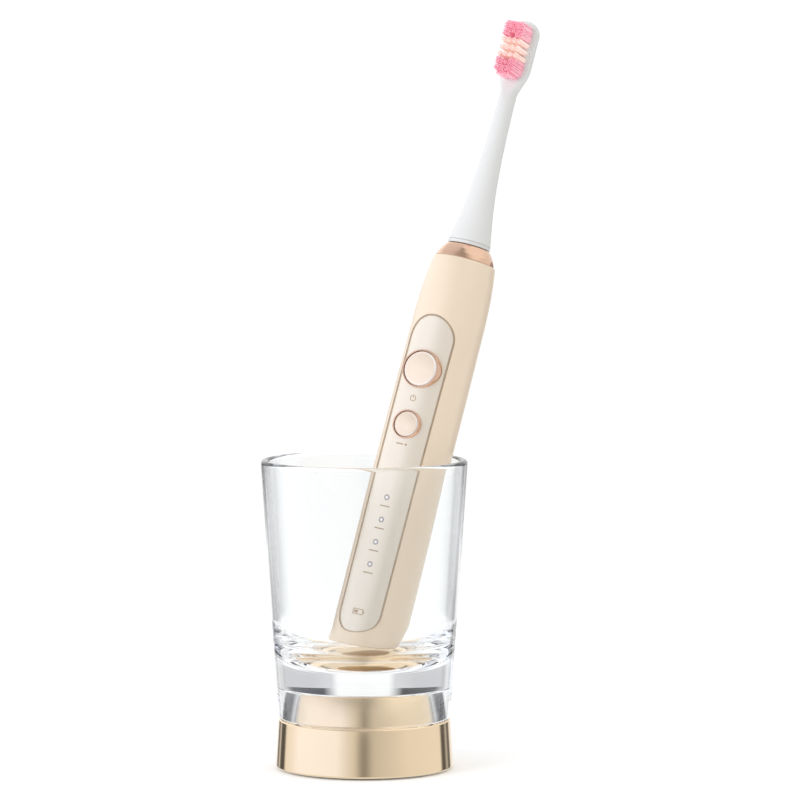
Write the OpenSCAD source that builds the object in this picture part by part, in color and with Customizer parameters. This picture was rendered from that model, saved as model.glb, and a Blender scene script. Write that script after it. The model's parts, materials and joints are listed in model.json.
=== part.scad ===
// Electric toothbrush standing in a glass tumbler on its charging base.
// Frame: origin at the middle of the rubber foot, +Z up, the front is -Y. Millimetres.
// The brush is drawn upright in its own frame, its foot at the origin and its buttons
// towards -Y, and in_brush() then leans it in the glass.

/* [Charging base] */
// Radius of the base at its lower edge
base_r = 34.5; // [33:0.1:36]
// Radius of the shelf that the glass stands on
shelf_r = 33.3; // [32:0.1:34]
// Height of the shelf
shelf_z = 19.5; // [18:0.5:22]
// Height of the boss that the glass fits over, above the shelf
boss_h = 12.2; // [10:0.1:14]
// Radius of the boss at the shelf
boss_r = 27; // [25:0.1:28]
// Wall of the base shell
base_wall = 2; // [1.5:0.1:2.5]

/* [Glass tumbler] */
// Height of the rim above the table
rim_z = 120; // [110:1:135]
// Outer radius at the rim
rim_r = 40; // [39:0.1:44]
// Wall at the rim
rim_wall = 3.1; // [2.6:0.1:3.4]
// Inner radius where the wall meets the round corner of the bowl
bowl_r = 33.2; // [32.4:0.1:33.8]
// Height of the floor of the bowl
floor_z = 39.5; // [38:0.1:41]
// Radius of the round corner between the floor and the wall
bowl_round = 20; // [14:1:22]

/* [Handle] */
// Largest radius of the handle
handle_r = 14.4; // [13.8:0.1:14.5]
// Radius at the lower end
foot_r = 14.3; // [13.6:0.1:14.4]
// Length of the painted body, up to the collar
body_l = 158.8; // [155:0.1:165]
// How far the shoulder draws in below the collar
shoulder_drop = 1.6; // [1:0.1:2.4]
// Wall of the body
body_wall = 2.4; // [2.2:0.1:2.6]
// Height of the chrome collar
collar_h = 5.8; // [5:0.1:7]

/* [Front panel] */
// Top of the panel, measured along the handle
panel_top = 133.8; // [130:0.1:136]
// Bottom of the panel
panel_low = 7.8; // [7.6:0.1:12]
// Half width at the top
panel_r_top = 9; // [8.8:0.1:10.2]
// Half width at the bottom
panel_r_low = 8.3; // [8:0.1:9.5]
// Width of the metal line around the panel
trim_w = 0.7; // [0.4:0.1:1]
// How far the panel lies below the painted surface
panel_sink = 0.3; // [0.2:0.05:0.4]

/* [Buttons] */
// Height of the power button along the handle
power_z = 112.6; // [111:0.1:113]
// Radius of the power button
power_r = 6.9; // [6:0.1:7]
// Height of the mode button along the handle
mode_z = 90.4; // [88:0.1:91]
// Radius of the mode button
mode_r = 5; // [4.2:0.05:5.2]
// Travel of both buttons
button_travel = 0.6; // [0.4:0.1:0.6]

/* [Indicators] */
// Number of mode lights
light_count = 4; // [2:1:5]
// Height of the uppermost light along the handle
light_top = 60.5; // [58:0.1:64]
// Distance between lights
light_step = 8.66; // [7:0.01:9]
// Radius of a light
light_r = 1.05; // [0.8:0.05:1.2]

/* [Brush head] */
// Overall length of the brush, from its foot to its tip
brush_l = 257.5; // [250:0.1:262]
// Radius of the skirt that meets the collar
skirt_r = 8.4; // [7.6:0.1:8.6]
// Radius of the neck below the plate
neck_r = 3.1; // [2.9:0.1:3.6]
// Half width of the bristle plate
plate_half = 6.3; // [5.4:0.1:6.6]
// Length of the bristles
bristle_l = 8.4; // [7:0.1:8.6]
// Rows of separate tufts in the middle field
tuft_rows = 3; // [2:1:3]
// Tufts in each row
tuft_columns = 4; // [3:1:4]

/* [Pose in the glass] */
// Angle between the brush and the vertical
lean = 17.85; // [17:0.05:18]
// Compass direction that it leans towards, from +X
lean_azimuth = 35.2; // [30:0.1:40]
// Turn of the buttons about the brush's own axis
front_turn = -26.1; // [-40:0.1:0]

/* [Hidden] */
$fn = 96;
part_gap = 0.3;          // between pieces that lift off each other
fit_gap = 0.05;          // radial play of a running fit
foot_x = -0.72;          // middle of the handle's foot, in the glass
foot_y = -4.1;
foot_z = 43.9;

base_low = 0.8;                       // lower edge of the gold skirt
edge = 0.8;                           // small rounding of polished metal edges
boss_top = shelf_z + boss_h;
boss_top_r = boss_r - 1.9;            // the boss tapers a little
pad_h = 1.4;
plate_top = 3.2;                      // top of the base's bottom plate
screw_ring = 27.4;                    // circle of the three base screws
board_z = 7;                          // underside of the charger board
board_t = 1.6;
holder_top = 24.4;                    // coil holder's top face

glass_low = shelf_z + part_gap;
glass_low_r = shelf_r;

belly_z = 78;                         // where the handle is thickest
shoulder_z = 132;                     // where the shoulder starts to draw in
shoulder_r = handle_r - 0.25;
cap_h = 2.6;                          // visible height of the end cap
cap_round = 1.3;
seat_r = 12;                          // bore that the end cap's spigot fills
seat_top = 7;
neck_z = 151.5;                       // ledge below the collar
neck_bore = 9.4;
panel_t = 1;
pocket = panel_sink + panel_t;
board_front = -5.6;                   // front face of the control board
board_back = -4.6;
cell_r = 7;
cell_y = 3.1;
cell_low = 15.5;
cell_l = 50;
motor_low = 120.3;
motor_top = 150;
motor_r = 9.9;
shaft_r = 1.75;
shaft_top = 184;
switch_face = 8.9;                    // front of the switches, out from the axis
plunger_r = 1.6;
ring_w = 0.6;            // wall of the button rings at the panel

collar_z = body_l + 0.1;
collar_top = body_l + collar_h;
head_z = collar_top + 0.4;            // underside of the brush head
ring_h = 1.3;
skirt_z = head_z + ring_h + 0.1;
plate_low = 226;                      // where the neck starts to widen
plate_front = -1.7;
plate_back = 2.9;
round_l = 6.4;                        // length of the plate's round tip
tuft_r = 0.95;
heel_low = 234.4;
heel_top = 239.8;
toe_low = 248.6;
tuft_inset = 1.9;         // from the plate's outline to the outer tufts
toe_high = brush_l - 2.8;

// ---------- shared shapes ----------

module in_brush() {
    translate([foot_x, foot_y, foot_z])
        rotate([0, 0, lean_azimuth])
            rotate([0, lean, 0])
                rotate([0, 0, front_turn - lean_azimuth])
                    children();
}

module lathe(points) {
    rotate_extrude() polygon(points);
}

module ring(inner, outer, low, top) {
    lathe([[inner, low], [outer, low], [outer, top], [inner, top]]);
}

// Children drawn around +Z are turned to look out of the handle's front at height z.
module facing_front(z) {
    translate([0, 0, z]) rotate([90, 0, 0]) children();
}

// Children drawn flat, x across and y along the handle, become a bar from out_low to
// out_high in front of the axis.
module front_prism(out_low, out_high) {
    translate([0, -out_low, 0])
        rotate([90, 0, 0])
            linear_extrude(out_high - out_low)
                children();
}

function arc(x, z, r, from, to, steps) =
    [for (i = [0:steps]) let (a = from + (to - from) * i / steps)
        [x + r * cos(a), z + r * sin(a)]];

function above(z, start) = max(0, z - start);

// Painted surface of the handle at height z: a slight belly, then a round shoulder.
function body_r(z) =
    z < belly_z
        ? handle_r - (handle_r - foot_r) * pow((belly_z - z) / belly_z, 2)
        : handle_r - (handle_r - shoulder_r)
            * pow((z - belly_z) / (shoulder_z - belly_z), 2)
            - shoulder_drop
            * pow(above(z, shoulder_z) / (body_l - shoulder_z), 2.6);

function body_line(low, high, steps, inset) =
    [for (i = [0:steps]) let (z = low + (high - low) * i / steps)
        [body_r(z) - inset, z]];

// The whole handle as a solid, its surface moved in by inset.
module body_solid(inset) {
    lathe(concat([[0, 0]], body_line(0, shoulder_z, 12, inset),
        [[0, shoulder_z]]));
}

// The panel's outline: two round ends joined by straight, slightly converging sides.
module panel_outline(grow) {
    top = panel_top - panel_r_top;
    low = panel_low + panel_r_low;
    big = panel_r_top + grow;
    small = panel_r_low + grow;
    slope = asin((big - small) / (top - low));
    polygon(concat(
        arc(0, top, big, -slope, 180 + slope, 20),
        arc(0, low, small, 180 + slope, 360 - slope, 16)
    ));
}

// ---------- charging base ----------

module foot_pad() {
    color("dimgray") cylinder(h = pad_h, r = base_r - 4);
}

module at_base_screws() {
    for (a = [30, 150, 270]) rotate(a) translate([screw_ring, 0, 0]) children();
}

module base_plate() {
    post_ring = 17;
    color("gainsboro") difference() {
        union() {
            translate([0, 0, pad_h]) cylinder(h = plate_top - pad_h, r = base_r - 2.9);
            for (a = [30, 150, 270])
                rotate(a)
                    translate([post_ring, 0, plate_top - 0.5])
                        cylinder(h = board_z - plate_top + 0.5, r = 2);
        }
        at_base_screws() {
            translate([0, 0, pad_h - 1]) cylinder(h = 2, r = 2.6);
            cylinder(h = 10, r = 1.4);
        }
    }
}

module base_screws() {
    color("silver") at_base_screws() {
        translate([0, 0, pad_h + 0.1]) cylinder(h = 0.9, r = 2.3);
        translate([0, 0, pad_h + 0.5]) cylinder(h = 9, r = 1.05);
    }
}

module inlet_outline(grow) {
    half_w = 4.47 + grow;
    half_h = 1.63 + grow;
    for (x = [-1, 1]) translate([x * (half_w - half_h), 0]) circle(half_h);
    square([2 * (half_w - half_h), 2 * half_h], center = true);
}

inlet_z = board_z + board_t + 1.63;
inlet_mouth = 33.7;

module from_back(start, length) {
    translate([0, start + length, inlet_z])
        rotate([90, 0, 0])
            linear_extrude(length)
                children();
}

module base_shell() {
    inner_low = base_r - base_wall - 0.2;
    color("burlywood") difference() {
        union() {
            lathe(concat(
                [[inner_low, base_low]],
                arc(base_r - edge, base_low + edge, edge, -90, 0, 4),
                arc(shelf_r - edge, shelf_z - edge, edge, 4, 90, 4),
                [[boss_r, shelf_z]],
                arc(boss_top_r - edge, boss_top - edge, edge, 8, 90, 4),
                [
                    [0, boss_top],
                    [0, boss_top - base_wall],
                    [boss_top_r - base_wall, boss_top - base_wall],
                    [boss_r - base_wall, shelf_z - base_wall],
                    [shelf_r - base_wall, shelf_z - base_wall],
                ]
            ));
            at_base_screws()
                translate([0, 0, plate_top + 0.1])
                    cylinder(h = shelf_z - base_wall - plate_top + 0.4, r = 3);
        }
        at_base_screws() cylinder(h = 14, r = 1.05 + fit_gap);
        from_back(28, 12) inlet_outline(0.35);
    }
}

module charger_board() {
    tab = 5.8;
    color("darkgreen")
        translate([0, 0, board_z])
            linear_extrude(board_t)
                union() {
                    circle(21.5);
                    translate([-tab, 0]) square([2 * tab, 30]);
                }
}

module charger_chips() {
    top = board_z + board_t;
    color("dimgray") {
        translate([-4, -5, top]) cube([7, 7, 1.2]);
        translate([5, -4, top]) cube([3, 5, 1.1]);
        translate([-9, 1, top]) cube([3.2, 1.6, 1]);
        translate([2, 6, top]) cylinder(h = 5, r = 2.2);
        translate([-5, 6, top]) cylinder(h = 4, r = 1.8);
    }
}

module power_inlet() {
    color("lightgray") difference() {
        from_back(inlet_mouth - 7.3, 7.3) inlet_outline(0);
        from_back(inlet_mouth - 6.2, 8) inlet_outline(-0.3);
    }
}

module inlet_tongue() {
    color("dimgray")
        translate([-3.3, inlet_mouth - 6.2, inlet_z - 0.35])
            cube([6.6, 5, 0.7]);
}

module coil_holder() {
    color("whitesmoke") lathe([
        [12, board_z + board_t], [14, board_z + board_t], [14, holder_top - 1.8],
        [17.4, holder_top - 1.8], [17.4, holder_top], [12, holder_top],
    ]);
}

module charger_ferrite() {
    color("slategray") lathe([
        [4, holder_top], [17.4, holder_top], [17.4, holder_top + 1.6],
        [8.6, holder_top + 1.6], [8.6, holder_top + 4.6], [4, holder_top + 4.6],
    ]);
}

module charger_coil() {
    color("peru") ring(8.8, 16.4, holder_top + 1.7, holder_top + 4.6);
}

// ---------- glass ----------

module glass_tumbler() {
    lip = rim_wall / 2;
    low_edge = 1;
    recess_top = boss_top + part_gap;
    floor_flat = bowl_r - bowl_round;
    color("azure", 0.35) lathe(concat(
        [[boss_r + part_gap, glass_low]],
        arc(glass_low_r - low_edge, glass_low + low_edge, low_edge, -90, 0, 5),
        arc(rim_r - lip, rim_z - lip, lip, 0, 180, 12),
        arc(floor_flat, floor_z + bowl_round, bowl_round, 0, -90, 12),
        [
            [0, floor_z],
            [0, recess_top],
            [boss_top_r + part_gap, recess_top],
        ]
    ));
}

// ---------- handle: skin ----------

module button_wells(grow) {
    facing_front(power_z) cylinder(h = 20, r = power_r + ring_w + grow);
    facing_front(mode_z) cylinder(h = 20, r = mode_r + ring_w + grow);
}

module at_lights() {
    for (i = [0:light_count - 1]) facing_front(light_top - i * light_step) children();
}

module handle_shell() {
    low = cap_h + 0.05;
    lip = 0.35;
    color("bisque") in_brush() difference() {
        lathe(concat(
            [[seat_r, low]],
            body_line(low, shoulder_z, 12, 0),
            [for (i = [1:9]) let (z = shoulder_z + (body_l - lip - shoulder_z) * i / 9)
                [body_r(z), z]],
            [
                [body_r(body_l) - lip, body_l],
                [neck_bore, body_l],
                [neck_bore, neck_z],
                [body_r(neck_z) - body_wall, neck_z],
                [body_r(shoulder_z) - body_wall, shoulder_z],
                [handle_r - body_wall, belly_z],
                [body_r(seat_top) - body_wall, seat_top],
                [seat_r, seat_top],
            ]
        ));
        difference() {
            front_prism(0, 20) panel_outline(trim_w);
            body_solid(pocket);
        }
        button_wells(0.05);
        at_lights() cylinder(h = 20, r = light_r + 0.05);
    }
}

module end_cap() {
    color("bisque") in_brush() lathe(concat(
        [[0, 0]],
        arc(foot_r - cap_round, cap_round, cap_round, -90, 0, 5),
        [
            [body_r(cap_h), cap_h], [11.9, cap_h], [11.9, 3.4], [10.9, 3.4],
            [10.9, 5], [11.9, 5], [11.9, 6.6], [9.9, 6.6], [9.9, 2], [0, 2],
        ]
    ));
}

module end_cap_seal() {
    color("dimgray") in_brush()
        rotate_extrude() translate([11.35, 4.2]) circle(0.6);
}

module front_panel() {
    color("linen") in_brush() difference() {
        intersection() {
            front_prism(0, 20) panel_outline(0);
            body_solid(panel_sink);
        }
        body_solid(pocket);
        button_wells(0.05);
        at_lights() cylinder(h = 20, r = light_r + 0.02);
    }
}

module panel_trim() {
    trim_sink = 0.15;
    color("tan") in_brush() difference() {
        intersection() {
            front_prism(0, 20) panel_outline(trim_w);
            body_solid(trim_sink);
        }
        body_solid(pocket);
        front_prism(-1, 21) panel_outline(0);
    }
}

// A ring on the curved panel: a cone outside, a straight well for the button inside.
module bezel(z, r) {
    well = r + 0.2;
    neck = r + ring_w;
    face = 14.55;
    difference() {
        union() {
            difference() {
                facing_front(z) cylinder(h = face, r1 = neck + 2.9, r2 = neck + 0.15);
                body_solid(panel_sink);
            }
            facing_front(z) translate([0, 0, 10.4]) cylinder(h = 3, r = neck);
        }
        facing_front(z) cylinder(h = 20, r = well);
    }
}

module power_bezel() {
    color("rosybrown") in_brush() bezel(power_z, power_r);
}

module mode_bezel() {
    color("rosybrown") in_brush() bezel(mode_z, mode_r);
}

module button_gaskets() {
    stem = 2.2;
    color("gray") in_brush() {
        facing_front(power_z) ring(stem + part_gap, power_r + 0.15, 10.5, 10.9);
        facing_front(mode_z) ring(stem + part_gap, mode_r + 0.15, 10.5, 10.9);
    }
}

module light_guides() {
    color("white") in_brush() intersection() {
        at_lights() translate([0, 0, 6.9]) cylinder(h = 10, r = light_r);
        body_solid(panel_sink);
    }
}

// Printed signs: a power sign, a dash and a dot, a dash under each light, and a battery.
module signs() {
    line = 0.28;
    translate([0, 100.8]) {
        difference() {
            circle(1.25);
            circle(1.25 - line);
            translate([-0.5, 0]) square([1, 2]);
        }
        translate([-line / 2, 0.1]) square([line, 1.3]);
    }
    translate([-2.2, 82.25]) square([3.1, 0.45]);
    translate([2, 82.45]) circle(0.42);
    for (i = [0:light_count - 1])
        translate([-2, light_top - i * light_step - 3.6]) square([4, 0.45]);
    translate([-2.2, 14.9]) difference() {
        square([4.4, 2.2]);
        translate([line, line]) square([4.4 - 2 * line, 2.2 - 2 * line]);
    }
    translate([2.2, 15.6]) square([0.4, 0.8]);
    translate([-1.6, 15.5]) square([1.6, 1]);
}

module panel_marks() {
    raised = 0.08;
    color("peru") in_brush() difference() {
        intersection() {
            front_prism(0, 20) signs();
            body_solid(panel_sink - raised);
        }
        body_solid(panel_sink);
    }
}

module collar_ring() {
    color("rosybrown") in_brush() lathe([
        [7.6, neck_z + 0.6], [neck_bore - 0.05, neck_z + 0.6],
        [neck_bore - 0.05, collar_z], [body_r(body_l) - 0.45, collar_z],
        [11.1, collar_z + 2], [10.1, collar_z + 3.8],
        [9.25, collar_top - 0.7], [8.6, collar_top], [4.6, collar_top],
        [4.6, collar_z + 1.6], [7.6, collar_z + 1.6],
    ]);
}

module shaft_seal() {
    color("gray") in_brush() lathe([
        [shaft_r + fit_gap, collar_z + 2], [shaft_r + fit_gap, collar_top - 0.2],
        [4.55, collar_top - 0.2], [4.55, collar_z + 1.55], [7.5, collar_z + 1.55],
        [7.5, collar_z - 1], [6.3, collar_z - 1], [6.3, collar_z + 0.4],
        [3.4, collar_z + 0.4],
    ]);
}

// ---------- handle: inside ----------

module chassis() {
    low = 12;
    motor_cradle = 136;
    web = 1.5;
    bulkheads = [low, 66.5, 102.5, motor_low - 1.1 - web];
    color("whitesmoke") in_brush() difference() {
        union() {
            ring(10.2, 11.3, low, motor_cradle);
            for (z = bulkheads) translate([0, 0, z]) cylinder(h = web, r = 10.5);
        }
        translate([-15, -15, 0]) cube([30, 15 + board_back + 0.05, 150]);
        cylinder(h = 200, r = 0.8 + fit_gap);
    }
}

module control_board() {
    color("darkgreen") in_brush()
        translate([-8.3, board_front, 18])
            cube([16.6, board_back - board_front, 100]);
}

module board_screws() {
    color("silver") in_brush()
        for (x = [-6.8, 6.8], z = [67.25, 103.25])
            facing_front(z) translate([x, 0, 0]) {
                translate([0, 0, -board_front + 0.05]) cylinder(h = 0.8, r = 1.2);
            }
}

module board_chips() {
    color("dimgray") in_brush() {
        translate([-3.5, board_back, 70]) cube([7, 1.2, 7]);
        translate([-6.5, board_back, 80]) cube([3, 1.1, 5]);
        translate([2, board_back, 80]) cube([4, 1.6, 4]);
        translate([-2, board_back, 92]) cube([4, 1.3, 6]);
    }
}

module indicator_leds() {
    color("white") in_brush()
        at_lights()
            translate([-1, -0.65, -board_front])
                cube([2, 1.3, 1]);
}

module switch_body(half) {
    translate([-half, -half, -board_front])
        difference() {
            cube([2 * half, 2 * half, switch_face + board_front]);
            translate([half, half, 1.3]) cylinder(h = 5, r = plunger_r + fit_gap);
        }
}

module button_switches() {
    color("dimgray") in_brush() {
        facing_front(power_z) switch_body(3);
        facing_front(mode_z) switch_body(2.6);
    }
}

module battery_cell() {
    color("steelblue") in_brush()
        translate([0, cell_y, cell_low])
            cylinder(h = cell_l, r = cell_r);
}

module battery_tabs() {
    color("silver") in_brush()
        for (z = [cell_low - 0.3, cell_low + cell_l])
            translate([-2, cell_y - 7.2, z]) cube([4, 11, 0.3]);
}

module receiver_former() {
    color("whitesmoke") in_brush() lathe([
        [2.15, 2.3], [9.3, 2.3], [9.3, 3.1], [4.4, 3.1],
        [4.4, 7.3], [9.3, 7.3], [9.3, 8.1], [2.15, 8.1],
    ]);
}

module receiver_coil() {
    color("peru") in_brush() ring(4.45, 9, 3.15, 7.25);
}

module receiver_ferrite() {
    color("slategray") in_brush()
        lathe([[0, 2.3], [2.1, 2.3], [2.1, 8.2], [9.3, 8.2], [9.3, 9.4], [0, 9.4]]);
}

module motor_housing() {
    hole = 3.05;
    wall = 0.7;
    end_t = 1.7;
    color("silver") in_brush() lathe([
        [hole, motor_low], [motor_r, motor_low], [motor_r, motor_top],
        [hole, motor_top], [hole, motor_top - end_t],
        [motor_r - wall, motor_top - end_t], [motor_r - wall, motor_low + end_t],
        [hole, motor_low + end_t],
    ]);
}

module stator_cores() {
    color("slategray") in_brush() {
        ring(5, 9.1, 124.4, 128.6);
        ring(5, 9.1, 139.4, 143.6);
    }
}

module stator_coil() {
    color("peru") in_brush() ring(5.1, 8.9, 128.8, 139.2);
}

module rear_bushing() {
    color("darkgoldenrod") in_brush()
        ring(shaft_r + fit_gap, 3, motor_low + 0.1, motor_low + 3.4);
}

module front_bushing() {
    color("darkgoldenrod") in_brush()
        ring(shaft_r + fit_gap, 3, motor_top - 3.4, motor_top + 1);
}

// ---------- buttons ----------

// A cap with a rounded edge and a slightly domed face, and a stem behind it.
module button_cap(r) {
    back = 11.9;
    rim = 14.75;
    crown = 0.5;
    rounding = 0.45;
    stem = 2.2;
    lathe(concat(
        [[0, switch_face + 0.9], [stem, switch_face + 0.9], [stem, back], [r, back]],
        arc(r - rounding, rim - rounding, rounding, 0, 75, 4),
        [for (i = [1:6]) let (x = (r - rounding) * (1 - i / 6))
            [x, rim + crown * (1 - pow(x / (r - rounding), 2))]]
    ));
}

module plunger() {
    translate([0, 0, switch_face - 1]) cylinder(h = 1.9, r = plunger_r);
}

module power_button() {
    color("linen") in_brush() facing_front(power_z) button_cap(power_r);
}

module power_plunger() {
    color("dimgray") in_brush() facing_front(power_z) plunger();
}

module mode_button() {
    color("linen") in_brush() facing_front(mode_z) button_cap(mode_r);
}

module mode_plunger() {
    color("dimgray") in_brush() facing_front(mode_z) plunger();
}

// ---------- drive ----------

flat_y = 1.2;            // distance of the shaft's flat from its axis
flat_low = 172;          // where the flat starts

module drive_shaft() {
    color("silver") in_brush() difference() {
        translate([0, 0, motor_low - 0.8])
            cylinder(h = shaft_top - motor_low + 0.8, r = shaft_r);
        translate([-3, -3 - flat_y, flat_low]) cube([6, 3, 20]);
    }
}

module rotor_core() {
    color("slategray") in_brush() ring(shaft_r, 3, 126, 142);
}

module rotor_magnets() {
    color("gray") in_brush()
        for (a = [0:90:270])
            rotate(a) translate([3, -1.5, 128]) cube([1.3, 3, 12]);
}

module torsion_rod() {
    color("silver") in_brush()
        translate([0, 0, 101]) cylinder(h = motor_low - 0.8 - 101, r = 0.8);
}

// ---------- brush head ----------

function neck_line(z) =
    neck_r + (skirt_r - neck_r) * exp(-pow(above(z, skirt_z) / 22.5, 1.12));

// Half width of the plate seen from the front: it widens out of the neck and ends round.
function plate_w(z) =
    let (t = min(1, above(z, plate_low) / 12), e = above(z, brush_l - round_l) / round_l)
        (neck_r + (plate_half - neck_r) * t * t * (3 - 2 * t))
            * sqrt(max(0, 1 - pow(e, 2.3)));

function plate_side(low, high, steps, inset, side) =
    [for (i = [0:steps]) let (z = low + (high - low) * i / steps)
        [side * max(0, plate_w(z) - inset), z]];

function reversed(list) = [for (i = [len(list) - 1:-1:0]) list[i]];

module plate_outline() {
    straight = brush_l - round_l;
    right = concat(
        plate_side(plate_low, plate_low + 12, 8, 0, 1),
        [for (i = [0:10]) let (z = straight + round_l * sin(9 * i)) [plate_w(z), z]]
    );
    polygon(concat(right, reversed([for (p = right) [-p.x, p.y]])));
}

// Seen from the side, as distance out from the axis against height.
module plate_profile() {
    polygon([
        [-neck_r, plate_low - 4], [neck_r, plate_low - 4], [neck_r, plate_low],
        [-plate_front, plate_low + 5], [-plate_front, brush_l - 1.2],
        [-plate_front - 0.6, brush_l], [1 - plate_back, brush_l],
        [-plate_back, brush_l - 2.4], [-plate_back, plate_low + 8],
        [-neck_r, plate_low],
    ]);
}

module brush_neck() {
    socket_r = 3.7;
    steps = 20;
    color("white") in_brush() difference() {
        union() {
            lathe(concat(
                [[0, skirt_z]],
                [for (i = [0:steps])
                    let (z = skirt_z + (plate_low + 1 - skirt_z) * i / steps)
                        [neck_line(z), z]],
                [[0, plate_low + 1]]
            ));
            intersection() {
                front_prism(-5, 5) plate_outline();
                rotate([0, 0, -90])
                    front_prism(-10, 10)
                        plate_profile();
            }
        }
        lathe([
            [0, skirt_z - 1], [6.7, skirt_z - 1], [6.7, skirt_z + 2.2],
            [socket_r, skirt_z + 9], [socket_r, 189.2], [0, 189.2],
        ]);
    }
}

module head_base_ring() {
    color("white") in_brush() lathe([
        [4.4, head_z], [skirt_r - 0.25, head_z], [skirt_r + 0.05, head_z + 0.3],
        [skirt_r + 0.05, head_z + ring_h], [4.4, head_z + ring_h],
    ]);
}

module shaft_socket() {
    bore = shaft_r + fit_gap;
    color("whitesmoke") in_brush() difference() {
        lathe([
            [0, skirt_z], [6.6, skirt_z], [6.6, skirt_z + 1.6],
            [3.6, skirt_z + 1.6], [3.6, 176], [3, 176], [3, 179],
            [3.6, 179], [3.6, 189], [0, 189],
        ]);
        difference() {
            translate([0, 0, 160]) cylinder(h = shaft_top + 1 - 160, r = bore);
            translate([-3, -3 - flat_y - fit_gap, flat_low + 0.6])
                cube([6, 3, 20]);
        }
        translate([0, 0, 160]) cylinder(h = flat_low + 0.6 - 160, r = bore);
    }
}

module socket_clip() {
    color("silver") in_brush() ring(3.05, 3.6, 176.1, 178.9);
}

module bristle_block() {
    front_prism(-plate_front, -plate_front + bristle_l) children();
}

// The toe tuft follows the plate's round tip and has a notch towards the middle.
module toe_bristles() {
    side = plate_side(toe_low, toe_high, 12, tuft_inset, 1);
    color("hotpink") in_brush() bristle_block() polygon(concat(
        side,
        reversed([for (p = side) [-p.x, p.y]]),
        [[-1.5, toe_low], [0, toe_low + 1.5], [1.5, toe_low]]
    ));
}

module heel_bristles() {
    half = plate_half - tuft_inset;
    corner = 1.8;
    color("hotpink") in_brush() bristle_block() {
        polygon([
            [-half + corner, heel_low], [half - corner, heel_low],
            [half, heel_low + corner], [half, heel_top], [1.5, heel_top],
            [0, heel_top - 1.3], [-1.5, heel_top], [-half, heel_top],
            [-half, heel_low + corner],
        ]);
        translate([-2.8, heel_low - 1.25]) square([5.6, 0.95]);
    }
}

module middle_bristles() {
    across = 2 * (plate_half - tuft_inset - tuft_r) / (tuft_columns - 1);
    row_step = (toe_low - heel_top) / tuft_rows;
    color("antiquewhite") in_brush() bristle_block()
        for (row = [0:tuft_rows - 1], column = [0:tuft_columns - 1])
            translate([
                across * (column - (tuft_columns - 1) / 2),
                heel_top + row_step * (row + 0.5),
            ])
                circle(tuft_r);
}

foot_pad();
base_plate();
base_screws();
base_shell();
charger_board();
charger_chips();
power_inlet();
inlet_tongue();
coil_holder();
charger_ferrite();
charger_coil();
glass_tumbler();
handle_shell();
end_cap();
end_cap_seal();
front_panel();
panel_trim();
power_bezel();
mode_bezel();
button_gaskets();
light_guides();
panel_marks();
chassis();
control_board();
board_screws();
board_chips();
indicator_leds();
button_switches();
battery_cell();
battery_tabs();
receiver_former();
receiver_coil();
receiver_ferrite();
motor_housing();
stator_cores();
stator_coil();
rear_bushing();
front_bushing();
collar_ring();
shaft_seal();
power_button();
power_plunger();
mode_button();
mode_plunger();
drive_shaft();
rotor_core();
rotor_magnets();
torsion_rod();
brush_neck();
head_base_ring();
shaft_socket();
socket_clip();
toe_bristles();
heel_bristles();
middle_bristles();
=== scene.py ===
# %% [markdown]
# # An electric toothbrush in its charging glass
#
# The object is a sonic toothbrush that leans in a clear tumbler. The tumbler stands on
# a polished gold base, which charges the brush through the glass. The CAD model holds
# every size and every joint, and this script gives the pieces their looks.
#
# The first step loads that model as a fixed frame. Nothing in the frame is moved: a
# piece is either a frame node with a better material, or a finer piece that stands in
# the same place and hides the node.

# %% Load the frame
import json
import math

import bmesh
import bpy
from mathutils import Matrix, Vector


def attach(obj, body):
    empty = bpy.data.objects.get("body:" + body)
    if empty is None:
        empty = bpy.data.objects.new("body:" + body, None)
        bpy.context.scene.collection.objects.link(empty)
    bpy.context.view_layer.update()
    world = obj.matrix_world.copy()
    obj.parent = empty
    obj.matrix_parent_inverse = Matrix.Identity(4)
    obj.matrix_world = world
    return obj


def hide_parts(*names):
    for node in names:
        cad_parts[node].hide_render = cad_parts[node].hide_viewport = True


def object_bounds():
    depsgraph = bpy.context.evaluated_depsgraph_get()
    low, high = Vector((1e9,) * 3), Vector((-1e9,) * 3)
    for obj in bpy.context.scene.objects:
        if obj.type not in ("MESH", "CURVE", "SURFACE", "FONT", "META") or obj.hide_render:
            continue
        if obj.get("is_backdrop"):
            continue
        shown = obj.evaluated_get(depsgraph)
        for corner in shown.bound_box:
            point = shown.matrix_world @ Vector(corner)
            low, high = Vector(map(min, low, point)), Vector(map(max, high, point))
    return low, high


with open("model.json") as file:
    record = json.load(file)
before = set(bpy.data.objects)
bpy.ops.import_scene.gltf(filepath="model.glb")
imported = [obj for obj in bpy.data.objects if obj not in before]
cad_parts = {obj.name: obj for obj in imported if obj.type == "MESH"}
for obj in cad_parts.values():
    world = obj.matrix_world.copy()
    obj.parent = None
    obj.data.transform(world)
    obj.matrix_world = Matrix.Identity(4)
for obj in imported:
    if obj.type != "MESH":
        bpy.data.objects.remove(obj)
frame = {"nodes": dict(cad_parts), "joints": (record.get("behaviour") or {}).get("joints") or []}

cad_box = [list(corner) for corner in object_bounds()]

# %% [markdown]
# ## Two homes for the pieces
#
# The base and the glass are round about the vertical axis. The brush leans, and it is
# far easier to model upright. So every piece is drawn in millimetres in an upright
# home of its own, and a matrix carries its points to where the frame has it. The
# matrix of the brush comes from three joints: the way it lifts out, the way a button
# is pressed, and the point that its shaft swings about.

# %% The two homes
MM = 0.001
PIVOT_HEIGHT = 150  # the shaft's pivot, counted along the brush from its foot

joints = {joint["name"]: joint for joint in frame["joints"]}
along = Vector(joints["handle_lift"]["axis"]).normalized()
backward = Vector(joints["power_press"]["axis"]).normalized()
across = backward.cross(along).normalized()
foot = Vector(joints["shaft_swing"]["pos_m"]) - along * PIVOT_HEIGHT * MM

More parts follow.
